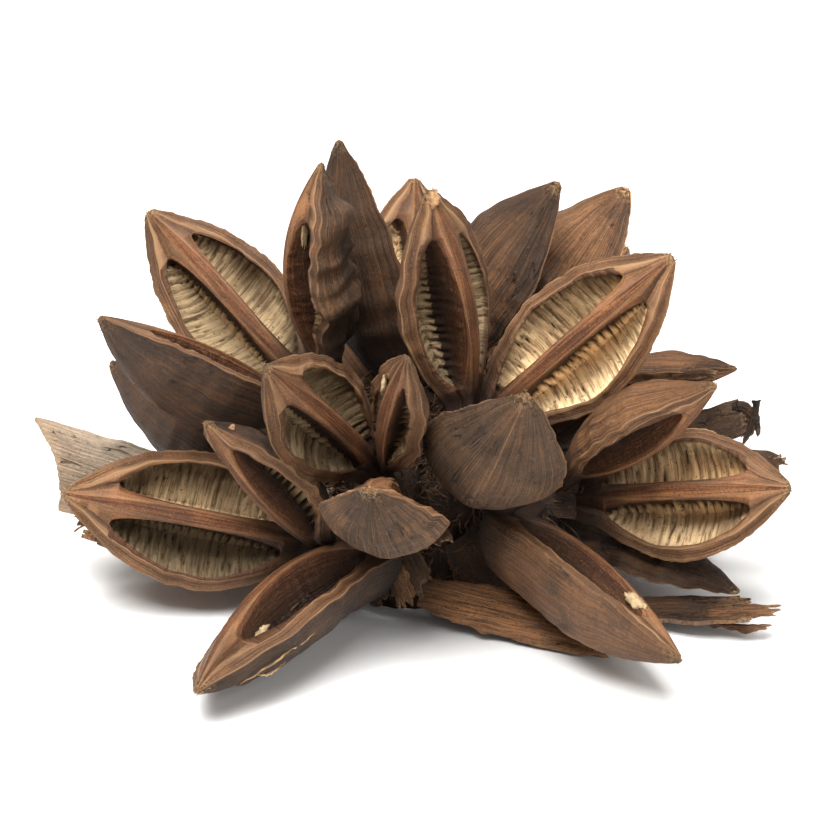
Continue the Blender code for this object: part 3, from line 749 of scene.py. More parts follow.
def half_valve(radius, share, closing, band_width, lift):
    """Points (across, inwards) from the ridge round one rim to the keel, a row to a station, then
    for each column its zone and a value. The zones are the ridge, the chamber and the rim's band,
    where the value goes from 0 to 1, and the husk, where it is the angle from the keel. The mouth
    of the seed chamber closes in where closing falls from 1 to 0."""
    swell = np.sin(math.pi * np.clip(share * 1.05, 0, 1))
    ridge = np.minimum(RIDGE_HALF + RIDGE_SWELL * swell, radius * 0.3)
    shoulder = -0.5 * np.minimum(1, radius / 8)
    wall = np.maximum(radius - WALL, radius * 0.6)
    band = np.maximum(radius - band_width, radius * 0.55)
    sine, cosine = math.sin(RIM_ANGLE), math.cos(RIM_ANGLE)
    across, inwards, zone, value = [], [], [], []

    def add(x, z, kind, at):
        across.append(x)
        inwards.append(z)
        zone.append(np.full(x.shape[1], kind))
        value.append(np.broadcast_to(at, x.shape[1:]))

    steps = np.array([0.0, 0.4, 0.8, 1.0])
    add(ridge[:, None] * steps, shoulder[:, None] * steps ** 2, RIDGE_ZONE, steps)
    band_x, band_z = band * sine, -band * cosine
    # the mouth closes onto a line just past the middle between ridge and rim
    middle = 0.56
    low = middle - (middle - 0.05) * closing
    high = middle + (0.95 - middle) * closing
    shares = np.interp(np.linspace(0, 1, CAVITY_COLUMNS), (0, 0.25, 0.55, 1), (0, 0.28, 0.50, 1))
    # the chamber's wall: down the ridge's flank, along the husk, and back under the rim
    slopes = (0.20, 0.48, 0.78, 1.02)
    corners_x = [ridge, 0.7 * ridge + 0.2, np.full_like(wall, 1.1), np.full_like(wall, 1.5)]
    corners_x += [wall * math.sin(slope) for slope in slopes] + [band_x]
    corners_z = [shoulder, 0.7 * shoulder - 0.12 * wall, -0.45 * wall, -0.80 * wall]
    corners_z += [-wall * math.cos(slope) for slope in slopes] + [band_z]
    corners_z[-2] = corners_z[-2] - 0.1
    knots = np.array([0, 0.07, 0.18, 0.28, 0.40, 0.56, 0.74, 0.92, 1.0])
    hollow_x = np.stack([np.interp(shares, knots, row) for row in np.stack(corners_x, 1)])
    hollow_z = np.stack([np.interp(shares, knots, row) for row in np.stack(corners_z, 1)])
    mouth = line_between(low, high, shares)
    depth = np.sqrt(closing)[:, None]
    x = ridge[:, None] + (band_x - ridge)[:, None] * mouth
    z = shoulder[:, None] + (band_z - shoulder)[:, None] * mouth
    add(x + (hollow_x - line_between(ridge, band_x, shares)) * depth,
        z + (hollow_z - line_between(shoulder, band_z, shares)) * depth, CHAMBER_ZONE, shares)
    steps = np.array([0.0, 0.12, 0.5, 0.88, 1.0])
    reach = line_between(band, radius, steps)
    bead = np.array([0.12, 0.0, -0.22, 0.0, 0.1])[None, :] * np.minimum(1, radius / 10)[:, None] + lift[:, None]
    add(reach * sine + bead * cosine, -reach * cosine + bead * sine, BAND_ZONE, steps)
    angle = RIM_ANGLE * (1 - np.append(0.022, np.linspace(0, 1, HUSK_COLUMNS)[1:] ** 0.9))
    keel = 1 + 0.035 * np.exp(-(angle / 0.2) ** 2)
    soft = lift[:, None] * (angle / RIM_ANGLE)[None, :] ** 2
    reach = radius[:, None] * keel
    add(reach * np.sin(angle) + soft * cosine, -reach * np.cos(angle) + soft * sine, HUSK_ZONE, angle)
    return (np.concatenate(across, 1), np.concatenate(inwards, 1), np.concatenate(zone),
            np.concatenate(value))


def valve_placement(valve):
    """Origin at the root, X to the tip, Z where the inner side faces."""
    root, tip = Vector(valve.root), Vector(valve.tip)
    along = (tip - root).normalized()
    facing = Vector(valve.facing)
    inwards = (facing - along * facing.dot(along)).normalized()
    turn = Matrix((along, inwards.cross(along), inwards)).transposed().to_4x4()
    return Matrix.Translation(root * MM) @ turn


def half_values(half, closing, side, paper, upper, widest):
    """Values for the ribs, creases and materials on the points of one half, by name, with the
    points themselves as x and z. The widest section gives the distance round the husk."""
    x, z, zone, value = half
    chamber, band, husk = zone == CHAMBER_ZONE, zone == BAND_ZONE, zone == HUSK_ZONE
    into = value[chamber]
    made = {key: np.zeros_like(x) for key in ("lining", "edge", "deep", "skin", "rim", "room", "flank", "shelter")}
    made["lining"][:, chamber] = np.clip((into - 0.20) / 0.16, 0, 1) * np.clip(closing * 3 - 0.3, 0, 1)[:, None]
    made["room"][:, chamber] = np.clip((1.0 - into) / 0.12, 0, 1)
    made["flank"][:, chamber] = (np.clip(into / 0.05, 0, 1) * np.clip((0.30 - into) / 0.06, 0, 1)) * closing[:, None]
    # painted shade along the foot of the ridge inside the chamber
    made["deep"][:, chamber] = np.exp(-((into - 0.22) / 0.10) ** 2)[None, :] * np.sqrt(closing)[:, None]
    # painted shade under the rim of the half that faces up
    made["shelter"][:, chamber] = upper * np.clip((into - 0.50) / 0.45, 0, 1)
    made["edge"][:, band] = np.array([1.0, 0.25, 0.0, 0.25, 1.0])
    made["edge"][:, (zone == RIDGE_ZONE) & (value > 0.9)] = 0.45
    made["rim"][:, band] = 0.85
    made["rim"][:, chamber] = 0.75 * np.clip(1 - 3 * closing, 0, 1)[:, None]
    made["skin"][:, husk] = np.clip((RIM_ANGLE - value[husk]) / 0.35, 0, 1)
    # partly the lining's own colour, partly painted light and shade
    made["paper"] = np.full_like(x, paper)
    steps = np.hypot(np.diff(x[widest]), np.diff(z[widest]))
    made["around"] = np.broadcast_to(np.append(0, np.cumsum(steps)) * side, x.shape)
    made["x"], made["z"] = x * side, z
    kinds = np.where(husk, HUSK, np.where(chamber & (value > 0.21), LINING, WOOD))
    return made, kinds


def both_halves(draw, valve, share, radius, side_up):
    """The values of both halves as one closed section to a station, and its kinds of surface."""
    halves = []
    for side in (1, -1):
        start = MOUTH_FROM + 0.02 * draw.random()
        stop = MOUTH_TO - 0.05 * draw.random()
        across = (share - 0.5 * (start + stop)) / (0.5 * (stop - start))
        closing = np.clip(1 - np.abs(np.clip(across, -1, 1)) ** 2.5, 0, 1) ** 0.45
        edge = radius * (1 + waves(draw, share, 9, 0.011 * (1 + 5 * valve.wrinkle)))
        lift = waves(draw, share, 9, 0.28 * (1 + valve.wrinkle)) * np.minimum(1, radius / 8)
        band = sizes().rim_band / MM * (1 + waves(draw, share, 4, 0.10))
        halves.append((half_valve(edge, share, closing, band, lift), closing, side))
    keel = 0.5 * (halves[0][0][1][:, -1] + halves[1][0][1][:, -1])
    widest = int(np.argmax(radius))
    made = []
    for (half, closing, side), paper in zip(halves, valve.paper):
        half[1][:, -1] = keel
        # how far this half faces up, for the painted shade under its rim
        upper = np.clip(side * 2.2 * side_up, 0, 1)
        made.append(half_values(half, closing, side, paper, upper, widest))
    (first, first_kinds), (second, second_kinds) = made
    # the second half runs back from the keel, and shares its first and last point with the first
    values = {key: np.concatenate([first[key], second[key][:, -2:0:-1]], 1) for key in first}
    return values, np.concatenate([first_kinds, second_kinds[-2:0:-1]])


def valve_mesh(name, valve, seat, seed):
    """The smooth valve with the values that its ribs, creases and materials follow."""
    draw = np.random.default_rng(seed)
    share = valve_stations()
    length = (Vector(valve.tip) - Vector(valve.root)).length
    full = valve.width / (2 * HALF_WIDTH)
    place = np.array(valve_placement(valve))
    values, kinds = both_halves(draw, valve, share, full * body_radius(share, valve.base), place[2, 1])
    x, z, around = values.pop("x"), values.pop("z"), values.pop("around")
    rows, count = x.shape

    bow = valve.bow * 4 * share * (1 - share) * (share > 0)
    twist = math.radians(4) * draw.uniform(-1, 1) * (share - 0.4)
    z = z + TWIST_LINE * full
    turned_x = x * np.cos(twist)[:, None] - z * np.sin(twist)[:, None]
    turned_z = x * np.sin(twist)[:, None] + z * np.cos(twist)[:, None] - TWIST_LINE * full
    along = np.broadcast_to((share * length)[:, None], x.shape)
    # the neck runs on from the root to the capsule's seat
    reach = (np.array(seat) * MM - place[:3, 3]) @ place[:3, :3] / MM
    neck = np.clip(-share / NECK, 0, 1)[:, None]
    along = np.where(neck > 0, min(0, reach[0]) * neck, along)
    points = np.stack([along, turned_x + reach[1] * neck ** 1.3,
                       turned_z + bow[:, None] + reach[2] * neck ** 1.3], 2).reshape(-1, 3) * MM
    tip_middle, last = len(points), (rows - 1) * count
    points = np.vstack([points, points[last:].mean(0) + np.array([0.0008, 0, 0])])
    faces = grid_faces(rows, count, True)
    faces += [(last + c, last + (c + 1) % count, tip_middle) for c in range(count)]
    faces.append(tuple(range(count - 1, -1, -1)))
    lined = np.minimum(values["lining"][1:], values["lining"][:-1]) > 0.2
    walls = np.where((kinds == LINING) & ~lined, WOOD, kinds)
    face_kinds = np.concatenate([walls.ravel(), np.full(count, WOOD), [HUSK]]).astype(np.int32)

    spread = np.repeat(share, count)
    girth = 2 * np.abs(around).max()
    turn = 2 * math.pi * around.ravel() / girth
    round_grain = girth * MM / (2 * math.pi) * np.stack([np.cos(turn), np.sin(turn)], 1)
    grain = np.hstack([(spread * length * MM + seed * 0.37)[:, None], round_grain])
    heading = np.tile(place[:3, 0], (len(points), 1))

    def on_points(field, at_tip):
        return "POINT", "FLOAT", np.append(field.ravel(), at_tip).astype(np.float32)

    attributes = {key: on_points(field, 1 if key in ("edge", "paper") else 0) for key, field in values.items()}
    attributes.update({
        "wrinkle": on_points(values["skin"] * valve.wrinkle, 0),
        "tone": on_points(valve.tone * (1 + 0.25 * (spread - 0.4)), valve.tone),
        "tip": on_points(np.clip((spread - 0.93) / 0.07, 0, 1) ** 2, 1),
        # painted shade at the root, where the valves crowd round the stalk
        "root": on_points(np.clip((0.24 - spread) / 0.24, 0, 1) ** 1.2, 0),
        "grain": ("POINT", "FLOAT_VECTOR", np.vstack([grain, grain[-1]]).astype(np.float32)),
        "lengthwise": ("POINT", "FLOAT_VECTOR", heading.astype(np.float32)),
        "kind": ("FACE", "INT", face_kinds),
    })
    return mesh_object(name, points @ place[:3, :3].T + place[:3, 3], faces, attributes)


def valve_tree():
    """Ribs across the seed chambers, creases in the husk, and splinters at the tip."""
    name = "valve_surface"
    if name in bpy.data.node_groups:
        return bpy.data.node_groups[name]
    tree, given, out = new_tree(name, [
        ("Rib pitch", "NodeSocketFloat"), ("Rib height", "NodeSocketFloat"), ("Rib wave", "NodeSocketFloat"),
        ("Crease", "NodeSocketFloat"), ("Fray length", "NodeSocketFloat"), ("Seed", "NodeSocketInt"),
        ("Husk", "NodeSocketMaterial"), ("Wood", "NodeSocketMaterial"), ("Lining", "NodeSocketMaterial"),
        ("Fray", "NodeSocketMaterial")])
    get = given.outputs
    place = add_node(tree, "GeometryNodeInputPosition")
    normal = add_node(tree, "GeometryNodeInputNormal")
    grain = named(tree, "grain", "FLOAT_VECTOR")
    lining, skin = named(tree, "lining"), named(tree, "skin")

    # the ribs run across the grain and wander
    lengthwise = add_node(tree, "ShaderNodeSeparateXYZ", {0: grain}).outputs[0]
    wander = product(tree, noise_in(tree, place, 75.0), get["Rib wave"])
    drift = product(tree, noise_in(tree, place, 30.0, 1.0), 0.008)
    run = math_of(tree, "ADD", lengthwise, math_of(tree, "MULTIPLY_ADD", wander, 2.0, drift))
    turns = product(tree, math_of(tree, "DIVIDE", run, get["Rib pitch"]), math.pi)
    lobe = math_of(tree, "ABSOLUTE", math_of(tree, "SINE", turns))
    rib = math_of(tree, "POWER", lobe, 0.65)
    pleat = math_of(tree, "SINE", product(tree, turns, 6.3))
    patch = noise_in(tree, place, 140.0)

    # the lining ends in ragged fingers towards the ridge, and is slit between some ribs
    fingers = math_of(tree, "MULTIPLY_ADD", lobe, 0.55, lining)
    ragged = math_of(tree, "MULTIPLY_ADD", noise_in(tree, place, 480.0, 3.0), 1.2, fingers)
    layer = product(tree, between(tree, ragged, 0.72, 0.88), math_of(tree, "LESS_THAN", 0.02, lining))
    slit = product(tree, between(tree, lobe, 0.38, 0.08, kind="LINEAR"),
                   between(tree, patch, 0.02, 0.14, kind="LINEAR"))
    high = product(tree, rib, math_of(tree, "MULTIPLY_ADD", patch, 1.6, 0.95))
    high = math_of(tree, "MULTIPLY_ADD", pleat, 0.10, high)
    high = math_of(tree, "MULTIPLY_ADD", slit, -0.8, high)
    high = product(tree, math_of(tree, "ADD", high, 0.45), get["Rib height"], layer, named(tree, "room"))

    # folds and dents in the husk, torn rims, crumbly flanks, and the wrinkles of a shrunk valve
    folds = noise_in(tree, vector_of(tree, grain, "MULTIPLY", (28.0, 300.0, 300.0)), 1.0)
    husk = math_of(tree, "ADD", product(tree, folds, 0.6), noise_in(tree, place, 55.0))
    husk = math_of(tree, "MULTIPLY_ADD", noise_in(tree, place, 420.0, 3.0), 0.22, husk)
    husk = product(tree, husk, get["Crease"], math_of(tree, "ADD", skin, 0.12))
    shrunk = noise_in(tree, vector_of(tree, grain, "MULTIPLY", (120.0, 35.0, 35.0)), 1.0)
    for field, key, height in ((noise_in(tree, place, 380.0, 3.0), "edge", 0.0016),
                               (noise_in(tree, place, 520.0, 3.0), "flank", 0.0024),
                               (shrunk, "wrinkle", 0.0065)):
        husk = math_of(tree, "MULTIPLY_ADD", product(tree, field, named(tree, key)), height, husk)

    moved = vector_of(tree, normal, "SCALE", math_of(tree, "ADD", high, husk))
    kept = stored(tree, get["Geometry"], rib=math_of(tree, "MULTIPLY_ADD", pleat, 0.12, rib),
                  layer=layer, slit=slit)
    shaped = add_node(tree, "GeometryNodeSetPosition", {"Geometry": kept, "Offset": moved})
    density = product(tree, math_of(tree, "POWER", named(tree, "tip"), 2.0), 300000.0)
    frayed = splinters(tree, shaped, density, get["Seed"], get["Fray length"], 0.00022,
                       named(tree, "lengthwise", "FLOAT_VECTOR"))
    kind = named(tree, "kind", "INT")
    solid = add_node(tree, "GeometryNodeRealizeInstances", {"Geometry": shaped})
    solid = coloured(tree, solid, get["Husk"])
    for number, label in ((WOOD, "Wood"), (LINING, "Lining")):
        chosen = add_node(tree, "FunctionNodeCompare", {2: kind, 3: number}, data_type="INT", operation="EQUAL")
        solid = coloured(tree, solid, get[label], chosen)
    joined = add_node(tree, "GeometryNodeJoinGeometry")
    for piece in (solid, coloured(tree, frayed, get["Fray"])):
        tree.links.new(piece.outputs[0], joined.inputs[0])
    tree.links.new(joined.outputs[0], out.inputs[0])
    return tree


def node_of(capsule, valve):
    """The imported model's node for a valve."""
    if capsule == "left_shoulder":
        return "valve_" + valve.name
    return f"valve_{capsule}_{valve.name}"


def make_valve(capsule, valve, seed):
    node = node_of(capsule, valve)
    obj = valve_mesh("smooth_" + node, valve, SEATS[capsule], seed)
    with_tree(obj, valve_tree(), {
        "Rib pitch": sizes().rib_pitch, "Rib height": sizes().rib_height, "Rib wave": sizes().rib_wave,
        "Crease": sizes().crease, "Fray length": sizes().fray_length, "Seed": seed,
        "Husk": husk_material(valve.wood), "Wood": wood_material(), "Lining": lining_material(),
        "Fray": fibre_material("frayed_wood_fibre", colours().fray)})
    piece = made_plain(obj, "dry_" + node)
    piece.data.shade_smooth()
    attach(piece, "root")
    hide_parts(node)
    return piece


# ---------------------------------------------------------------- bracts


def bezier(path, share):
    """Point and direction on the quadratic curve of three path points."""
    first, middle, last = (Vector(p) for p in path)
    rest = 1 - share
    point = first * rest ** 2 + middle * 2 * rest * share + last * share ** 2
    direction = (middle - first) * rest + (last - middle) * share
    return point, direction.normalized()


def bract_mesh(name, bracts, grid, tone):
    """The middle sheets of bracts, torn at their ends and nibbled along their edges."""
    rows, columns = grid
    points, faces = [], []
    values = {key: [] for key in ("grain", "edge", "tip", "root", "ridged")}
    side = np.linspace(-1, 1, columns)
    share = np.linspace(0, 1, rows)
    for bract in bracts:
        shift = len(points)
        faces += [tuple(shift + v for v in face) for face in grid_faces(rows, columns, False)]
        draw = np.random.default_rng(bract.seed)
        coarse = np.interp(side, np.linspace(-1, 1, 9), draw.uniform(-1, 1, 9))
        fine = np.interp(side, np.linspace(-1, 1, 31), draw.uniform(-1, 1, 31))
        tear = bract.torn * (0.75 * coarse + 0.45 * fine) + bract.slant * side
        nibbles = [waves(draw, share, 9, 0.45), waves(draw, share, 9, 0.45)]
        for row, at in enumerate(share.tolist()):
            point, along = bezier(bract.path, at)
            outward = Vector(bract.outward)
            outward = (outward - along * outward.dot(along)).normalized()
            across = outward.cross(along)
            half = 0.5 * bract.width * (0.40 + 0.60 * math.sin(math.pi * (0.08 + 0.60 * at)))
            for column, off in enumerate(side.tolist()):
                place = point + across * (off * half) - outward * (bract.arch * off * off)
                place += along * (float(tear[column]) * at ** 6)
                edge = max(0.0, abs(off) - 0.75) / 0.25
                place += across * (float(nibbles[off > 0][row]) * edge)
                points.append(place)
                values["grain"].append((at * 0.075 + bract.seed, off * half * MM + 0.2 + bract.seed * 0.13, 0))
                values["edge"].append(0.6 * max(at ** 14, edge ** 6 * 0.6))
                values["tip"].append(0.5 * at ** 40)
                # painted shade: darker towards the bract's root beside the stalk
                values["root"].append(2 * max(0.0, 0.3 - at))
                values["ridged"].append(bract.ridge)
    attributes = {key: ("POINT", "FLOAT_VECTOR" if key == "grain" else "FLOAT", np.array(row, np.float32))
                  for key, row in values.items()}
    attributes["tone"] = ("POINT", "FLOAT", np.full(len(points), tone, np.float32))
    return mesh_object(name, np.array([tuple(p) for p in points]) * MM, faces, attributes)


def bract_tree():
    """Long ridges and creases over a bract's sheet, which is then given its thickness."""
    name = "bract_surface"
    if name in bpy.data.node_groups:
        return bpy.data.node_groups[name]
    tree, given, out = new_tree(name, [
        ("Ridge pitch", "NodeSocketFloat"), ("Thickness", "NodeSocketFloat"), ("Husk", "NodeSocketMaterial")])
    get = given.outputs
    place = add_node(tree, "GeometryNodeInputPosition")
    normal = add_node(tree, "GeometryNodeInputNormal")
    across = add_node(tree, "ShaderNodeSeparateXYZ", {0: named(tree, "grain", "FLOAT_VECTOR")}).outputs[1]
    wander = product(tree, noise_in(tree, place, 60.0), 0.0012)
    turns = math_of(tree, "DIVIDE", math_of(tree, "ADD", across, wander), get["Ridge pitch"])
    ridges = math_of(tree, "SINE", product(tree, turns, 2 * math.pi))
    furrow = product(tree, ridges, named(tree, "ridged"))
    buckle = product(tree, noise_in(tree, place, 45.0), 0.0030)
    crumple = product(tree, noise_in(tree, place, 300.0, 3.0), 0.0006)
    shift = math_of(tree, "ADD", product(tree, furrow, 0.00035), buckle)
    moved = vector_of(tree, normal, "SCALE", math_of(tree, "ADD", shift, crumple))
    # the furrows are kept for the painted shade in them
    kept = stored(tree, get["Geometry"], furrow=furrow)
    sheet = add_node(tree, "GeometryNodeSetPosition", {"Geometry": kept, "Offset": moved})
    grown = add_node(tree, "GeometryNodeExtrudeMesh", {"Mesh": sheet, "Offset Scale": get["Thickness"],
                                                      "Individual": False}, mode="FACES")
    back = add_node(tree, "GeometryNodeFlipFaces", {"Mesh": sheet})
    joined = add_node(tree, "GeometryNodeJoinGeometry")
    for side in (grown, back):
        tree.links.new(side.outputs["Mesh"], joined.inputs[0])
    closed = add_node(tree, "GeometryNodeMergeByDistance", {"Geometry": joined, "Distance": 0.00001})
    solid = add_node(tree, "GeometryNodeRealizeInstances", {"Geometry": closed})
    tree.links.new(coloured(tree, solid, get["Husk"]).outputs[0], out.inputs[0])
    return tree


def make_sheets(name, bracts, grid, thick, tone):
    """Sheets of one wood as a plain piece that stays above the floor."""
    wood = bracts[0].wood
    obj = bract_mesh("sheet_" + name, bracts, grid, tone)
    with_tree(obj, bract_tree(), {"Ridge pitch": sizes().bract_pitch, "Thickness": thick * MM,
                                  "Husk": husk_material(wood)})
    piece = made_plain(obj, "dry_" + name)
    bm = bmesh.new()
    bm.from_mesh(piece.data)
    bmesh.ops.recalc_face_normals(bm, faces=bm.faces)
    for vertex in bm.verts:
        vertex.co.z = max(vertex.co.z, LOWEST)
    bm.to_mesh(piece.data)
    bm.free()
    piece.data.shade_smooth()
    piece.data.set_sharp_from_angle(angle=math.radians(50))
    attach(piece, "root")
    return piece


def marks_mesh(name, lumps, veins):
    """Small lumps and raised veins as one mesh."""
    draw = np.random.default_rng(11)
    points, faces = [], []
    rings, sides = 12, 16
    for middle, along, half in lumps:
        turn = Vector(along).to_track_quat("Z", "Y")
        faces += capped_faces(len(points), rings, sides)
        for polar in [math.pi * (ring + 0.5) / rings for ring in range(rings)]:
            for angle in [2 * math.pi * side / sides for side in range(sides)]:
                reach = (1 + 0.12 * math.sin(3 * angle + 2 * polar) + 0.16 * math.sin(9 * polar + angle)
                         + draw.uniform(-0.11, 0.11))
                spot = Vector((half[0] * math.sin(polar) * math.cos(angle),
                               half[1] * math.sin(polar) * math.sin(angle), half[2] * math.cos(polar)))
                points.append(Vector(middle) + turn @ (spot * reach))
    rings, sides = 24, 6
    for path, thick in veins:
        faces += capped_faces(len(points), rings, sides)
        stops, steps = np.linspace(0, 1, len(path)), np.linspace(0, 1, rings)
        spots = np.stack([np.interp(steps, stops, [p[axis] for p in path]) for axis in range(3)], 1)
        spots += draw.uniform(-0.25, 0.25, spots.shape)
        radii = (thick * np.sin(np.pi * (0.04 + 0.92 * steps)) ** 0.5).tolist()
        points += tube_points([Vector(spot) for spot in spots.tolist()], radii, sides)
    return mesh_object(name, np.array([tuple(p) for p in points]) * MM, faces, {})


# ---------------------------------------------------------------- stem and fibres


def tube_points(points, radii, sides):
    """Rings round a path, each slightly out of round like a fibrous twig."""
    rings = []
    for number, point in enumerate(points):
        before, after = points[max(number - 1, 0)], points[min(number + 1, len(points) - 1)]
        turn = (after - before).to_track_quat("Z", "Y")
        for side in range(sides):
            angle = 2 * math.pi * side / sides
            reach = radii[number] * (1 + 0.05 * math.sin(5 * angle + number * 0.3))
            rings.append(point + turn @ (Vector((math.cos(angle), math.sin(angle), 0)) * reach))
    return rings


def stem_mesh():
    """The stalk and its ten branches as one mesh of rings, with the grain along each."""
    foot, top = Vector(STALK_FOOT), Vector(STALK_TOP)
    points, faces, grain = [], [], []

    def add_tube(rings, rows, sides, girth, number):
        faces.extend(capped_faces(len(points), rows, sides))
        points.extend(rings)
        length = (rings[-1] - rings[0]).length
        for row in range(rows):
            for side in range(sides):
                turn = abs(2 * side / sides - 1)
                grain.append((length * row / rows * MM + number, girth * turn * 3.1 * MM, 0))

    sides, rows = 96, 40
    rings = []
    for row in range(rows):
        share = row / (rows - 1)
        middle = foot.lerp(top, share)
        radius = float(np.interp(share, (0, 0.35, 0.75, 1), STALK_RADII))
        for side in range(sides):
            angle = 2 * math.pi * side / sides
            reach = radius * (1 + 0.02 * math.sin(9 * angle) + 0.015 * math.sin(23 * angle + 4 * share) - 0.02)
            rings.append(middle + Vector((math.cos(angle), math.sin(angle), 0)) * reach)
    add_tube(rings, rows, sides, 22, 0)
    sides, rows = 32, 26
    steps = np.linspace(0, 1, rows)
    radii = np.interp(steps, (0, 0.55, 0.88, 1), BRANCH_RADII).tolist()
    for number, seat in enumerate(SEATS.values(), 1):
        end = Vector(seat)
        start = foot.lerp(top, min(0.8, max(0.25, (end.z - 12) / top.z)))
        middle = [start.lerp(end, float(step)) for step in steps]
        add_tube(tube_points(middle, radii, sides), rows, sides, 6, number)
    points = np.array([tuple(p) for p in points]) * MM
    attributes = {"grain": ("POINT", "FLOAT_VECTOR", np.array(grain, np.float32))}
    return mesh_object("smooth_stem", points, faces, attributes)


def fibre_tree():
    """Long crooked hairs scattered over a surface, except on the cut foot of the stalk."""
    name = "root_fibres"
    if name in bpy.data.node_groups:
        return bpy.data.node_groups[name]
    tree, given, out = new_tree(name, [
        ("Hairs", "NodeSocketFloat"), ("Length", "NodeSocketFloat"), ("Thickness", "NodeSocketFloat"),
        ("Seed", "NodeSocketInt"), ("Fibre", "NodeSocketMaterial")])
    get = given.outputs
    place = add_node(tree, "GeometryNodeInputPosition")
    tall = add_node(tree, "ShaderNodeSeparateXYZ", {0: place}).outputs[2]
    points = add_node(tree, "GeometryNodeDistributePointsOnFaces",
                      {"Mesh": get["Geometry"], "Density": get["Hairs"], "Seed": get["Seed"],
                       "Selection": math_of(tree, "GREATER_THAN", tall, BARE_FOOT)})
    line = add_node(tree, "GeometryNodeCurvePrimitiveLine", {"End": (0.0, 0.0, 1.0)})
    line = add_node(tree, "GeometryNodeResampleCurve", {"Curve": line, "Count": 8})
    ring = add_node(tree, "GeometryNodeCurvePrimitiveCircle", {"Resolution": 3, "Radius": 0.012})
    hair = add_node(tree, "GeometryNodeCurveToMesh", {"Curve": line, "Profile Curve": ring, "Fill Caps": True})
    long = product(tree, random_size(tree, 0.25, get["Seed"]), get["Length"])
    size = add_node(tree, "ShaderNodeCombineXYZ", {0: get["Thickness"], 1: get["Thickness"], 2: long})
    placed = add_node(tree, "GeometryNodeInstanceOnPoints",
                      {"Points": points.outputs["Points"], "Instance": hair, "Scale": size,
                       "Rotation": random_turn(tree, points.outputs["Rotation"], 1.1, 3.1, get["Seed"])})
    real = add_node(tree, "GeometryNodeRealizeInstances", {"Geometry": placed})
    wild = add_node(tree, "ShaderNodeTexNoise", {"Vector": place, "Scale": 150.0, "Detail": 2.0}).outputs[1]
    wild = vector_of(tree, vector_of(tree, wild, "SUBTRACT", (0.5, 0.5, 0.5)), "SCALE", 0.011)
    bent = add_node(tree, "GeometryNodeSetPosition", {"Geometry": real, "Offset": wild})
    low = vector_of(tree, place, "MAXIMUM", (-1.0, -1.0, LOWEST))
    bent = add_node(tree, "GeometryNodeSetPosition", {"Geometry": bent, "Position": low})
    tree.links.new(coloured(tree, bent, get["Fibre"]).outputs[0], out.inputs[0])
    return tree


# ---------------------------------------------------------------- operators


class FRUITHEAD_OT_stage(bpy.types.Operator):
    """Pale floor, soft studio light and the camera"""
    bl_idname = "fruit_head.stage"
    bl_label = "Set the stage"

    def execute(self, context):
        scene = context.scene
        scene.view_settings.view_transform = "Standard"
        mesh = bpy.data.meshes.new("studio_floor")
        far = FLOOR_HALF
        mesh.from_pydata([(-far, -far, 0), (far, -far, 0), (far, far, 0), (-far, far, 0)], [], [(0, 1, 2, 3)])
        floor = bpy.data.objects.new("studio_floor", mesh)
        scene.collection.objects.link(floor)
        mesh.materials.append(floor_material())
        world = bpy.data.worlds.new("studio")
        world.use_nodes = True
        background = world.node_tree.nodes["Background"]
        background.inputs["Color"].default_value = (1.0, 1.0, 1.0, 1.0)
        background.inputs["Strength"].default_value = ROOM_LIGHT
        scene.world = world
        for name, place, size, power in LAMPS:
            light = bpy.data.lights.new(name, "AREA")
            light.size = size
            light.energy = power
            lamp = bpy.data.objects.new(name, light)
            lamp.location = place
            lamp.rotation_euler = (Vector(LAMPS_AIM) - Vector(place)).to_track_quat("-Z", "Y").to_euler()
            scene.collection.objects.link(lamp)
        lens = bpy.data.cameras.new("camera")
        lens.sensor_width = SENSOR
        lens.lens = SENSOR * FOCAL_PIXELS / PICTURE_PIXELS
        lens.clip_end = 20.0
        camera = bpy.data.objects.new("camera", lens)
        away = Vector((0, -math.cos(CAMERA_ANGLE), math.sin(CAMERA_ANGLE)))
        camera.location = Vector(CAMERA_TARGET) * MM + away * CAMERA_DISTANCE
        camera.rotation_euler = (math.radians(90) - CAMERA_ANGLE, 0, 0)
        scene.collection.objects.link(camera)
        scene.camera = camera
        return {"FINISHED"}


class FRUITHEAD_OT_capsule(bpy.types.Operator):
    """The three valves of one capsule"""
    bl_idname = "fruit_head.capsule"
    bl_label = "Make a capsule"
    capsule: bpy.props.EnumProperty(name="Capsule", description="Which capsule is made",
                                    items=[(key, key.replace("_", " "), "") for key in CAPSULES])

    def execute(self, context):
        first = 10 * (1 + list(CAPSULES).index(self.capsule))
        for number, valve in enumerate(CAPSULES[self.capsule]):
            make_valve(self.capsule, valve, first + number)
        return {"FINISHED"}


class FRUITHEAD_OT_bracts(bpy.types.Operator):
    """The torn remains of the bracts"""
    bl_idname = "fruit_head.bracts"
    bl_label = "Make the bracts"

    def execute(self, context):
        for bract in BRACTS:
            piece = make_sheets(bract.name, [bract], BRACT_GRID, BRACT_THICK, BRACT_TONE[bract.wood])
            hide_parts(bract.name)
        for wood, rows in SCRAPS.items():
            scraps = [Bract(name, wood, *rest) for name, *rest in rows]
            make_sheets("scraps_" + wood, scraps, SCRAP_GRID, SCRAP_THICK, SCRAP_TONE[wood])
        marks = [("loose_seed_paper", PAPER_BITS, [], "dried_seed_paper", shade(colours().lining, 0.5)),
                 ("worn_tips", WORN_TIPS, [], "worn_pale_wood", colours().rim_line),
                 ("husk_veins", [], VEINS, "raised_husk_vein", colours().fray)]
        for name, lumps, veins, material, colour in marks:
            piece = marks_mesh("dry_" + name, lumps, veins)
            piece.data.materials.append(fibre_material(material, colour))
            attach(piece, "root")
        return {"FINISHED"}


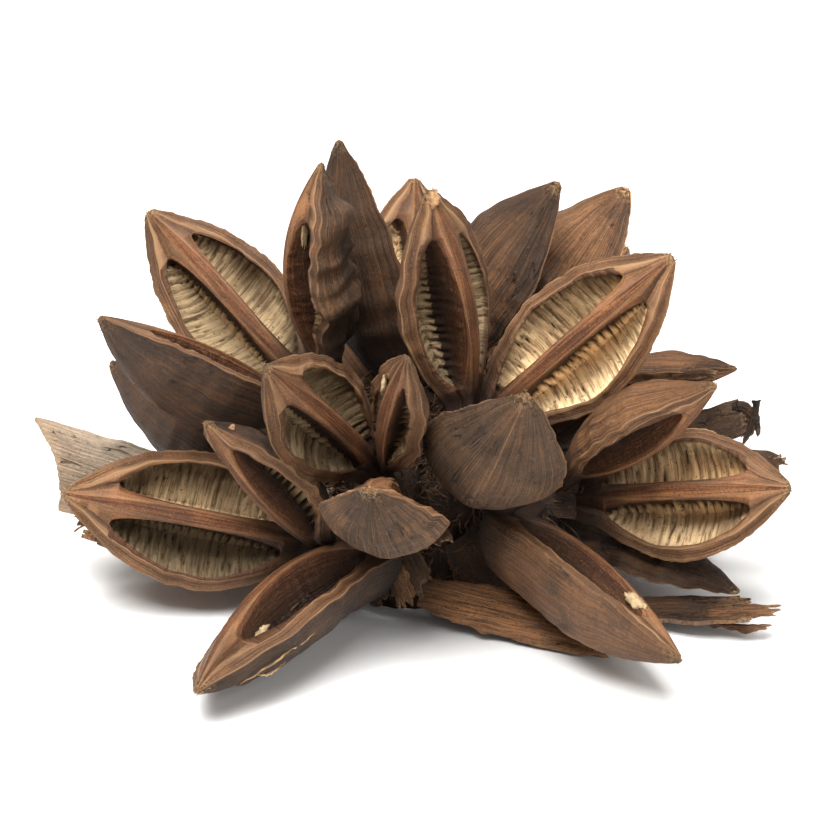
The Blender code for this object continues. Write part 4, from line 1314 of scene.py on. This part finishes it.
class FRUITHEAD_OT_stem(bpy.types.Operator):
    """The cut stem with its branches, and the loose fibres on it"""
    bl_idname = "fruit_head.stem"
    bl_label = "Make the stem"

    def execute(self, context):
        stem = stem_mesh()
        stem.data.materials.append(bark_material())
        hairs = bpy.data.objects.new("hairs", stem.data.copy())
        context.scene.collection.objects.link(hairs)
        with_tree(hairs, fibre_tree(), {
            "Hairs": HAIRS, "Length": sizes().fibre_length, "Thickness": HAIR_THICK, "Seed": 4,
            "Fibre": fibre_material("loose_root_fibre", colours().fibre)})
        hairs = made_plain(hairs, "root_fibres")
        stem.name = "dry_stem"
        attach(stem, "root")
        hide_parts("stem")
        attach(hairs, "root")
        return {"FINISHED"}


class FRUITHEAD_PT_panel(bpy.types.Panel):
    """Lists the pieces of the fruit head"""
    bl_idname = "FRUITHEAD_PT_panel"
    bl_label = "Palm fruit head"
    bl_space_type = "VIEW_3D"
    bl_region_type = "UI"
    bl_category = "Fruit head"

    def draw(self, context):
        column = self.layout.column()
        column.operator(FRUITHEAD_OT_stem.bl_idname)
        for key in CAPSULES:
            column.operator(FRUITHEAD_OT_capsule.bl_idname, text=key.replace("_", " ")).capsule = key
        column.operator(FRUITHEAD_OT_bracts.bl_idname)
        column.operator(FRUITHEAD_OT_stem.bl_idname)
        for group in (context.scene.fruit_head_sizes, context.scene.fruit_head_colours):
            for key in group.bl_rna.properties.keys():
                if key not in ("rna_type", "name"):
                    column.prop(group, key)


CLASSES = (FruitHeadSizes, FruitHeadColours, FRUITHEAD_OT_stage, FRUITHEAD_OT_capsule,
           FRUITHEAD_OT_bracts, FRUITHEAD_OT_stem, FRUITHEAD_PT_panel)


def register():
    for kind in CLASSES:
        bpy.utils.register_class(kind)
    bpy.types.Scene.fruit_head_sizes = bpy.props.PointerProperty(type=FruitHeadSizes)
    bpy.types.Scene.fruit_head_colours = bpy.props.PointerProperty(type=FruitHeadColours)


def unregister():
    del bpy.types.Scene.fruit_head_sizes
    del bpy.types.Scene.fruit_head_colours
    for kind in reversed(CLASSES):
        bpy.utils.unregister_class(kind)


def main():
    register()
    bpy.ops.fruit_head.stage()
    bpy.ops.fruit_head.stem()
    for key in CAPSULES:
        bpy.ops.fruit_head.capsule(capsule=key)
    bpy.ops.fruit_head.bracts()


if __name__ == "__main__":
    main()
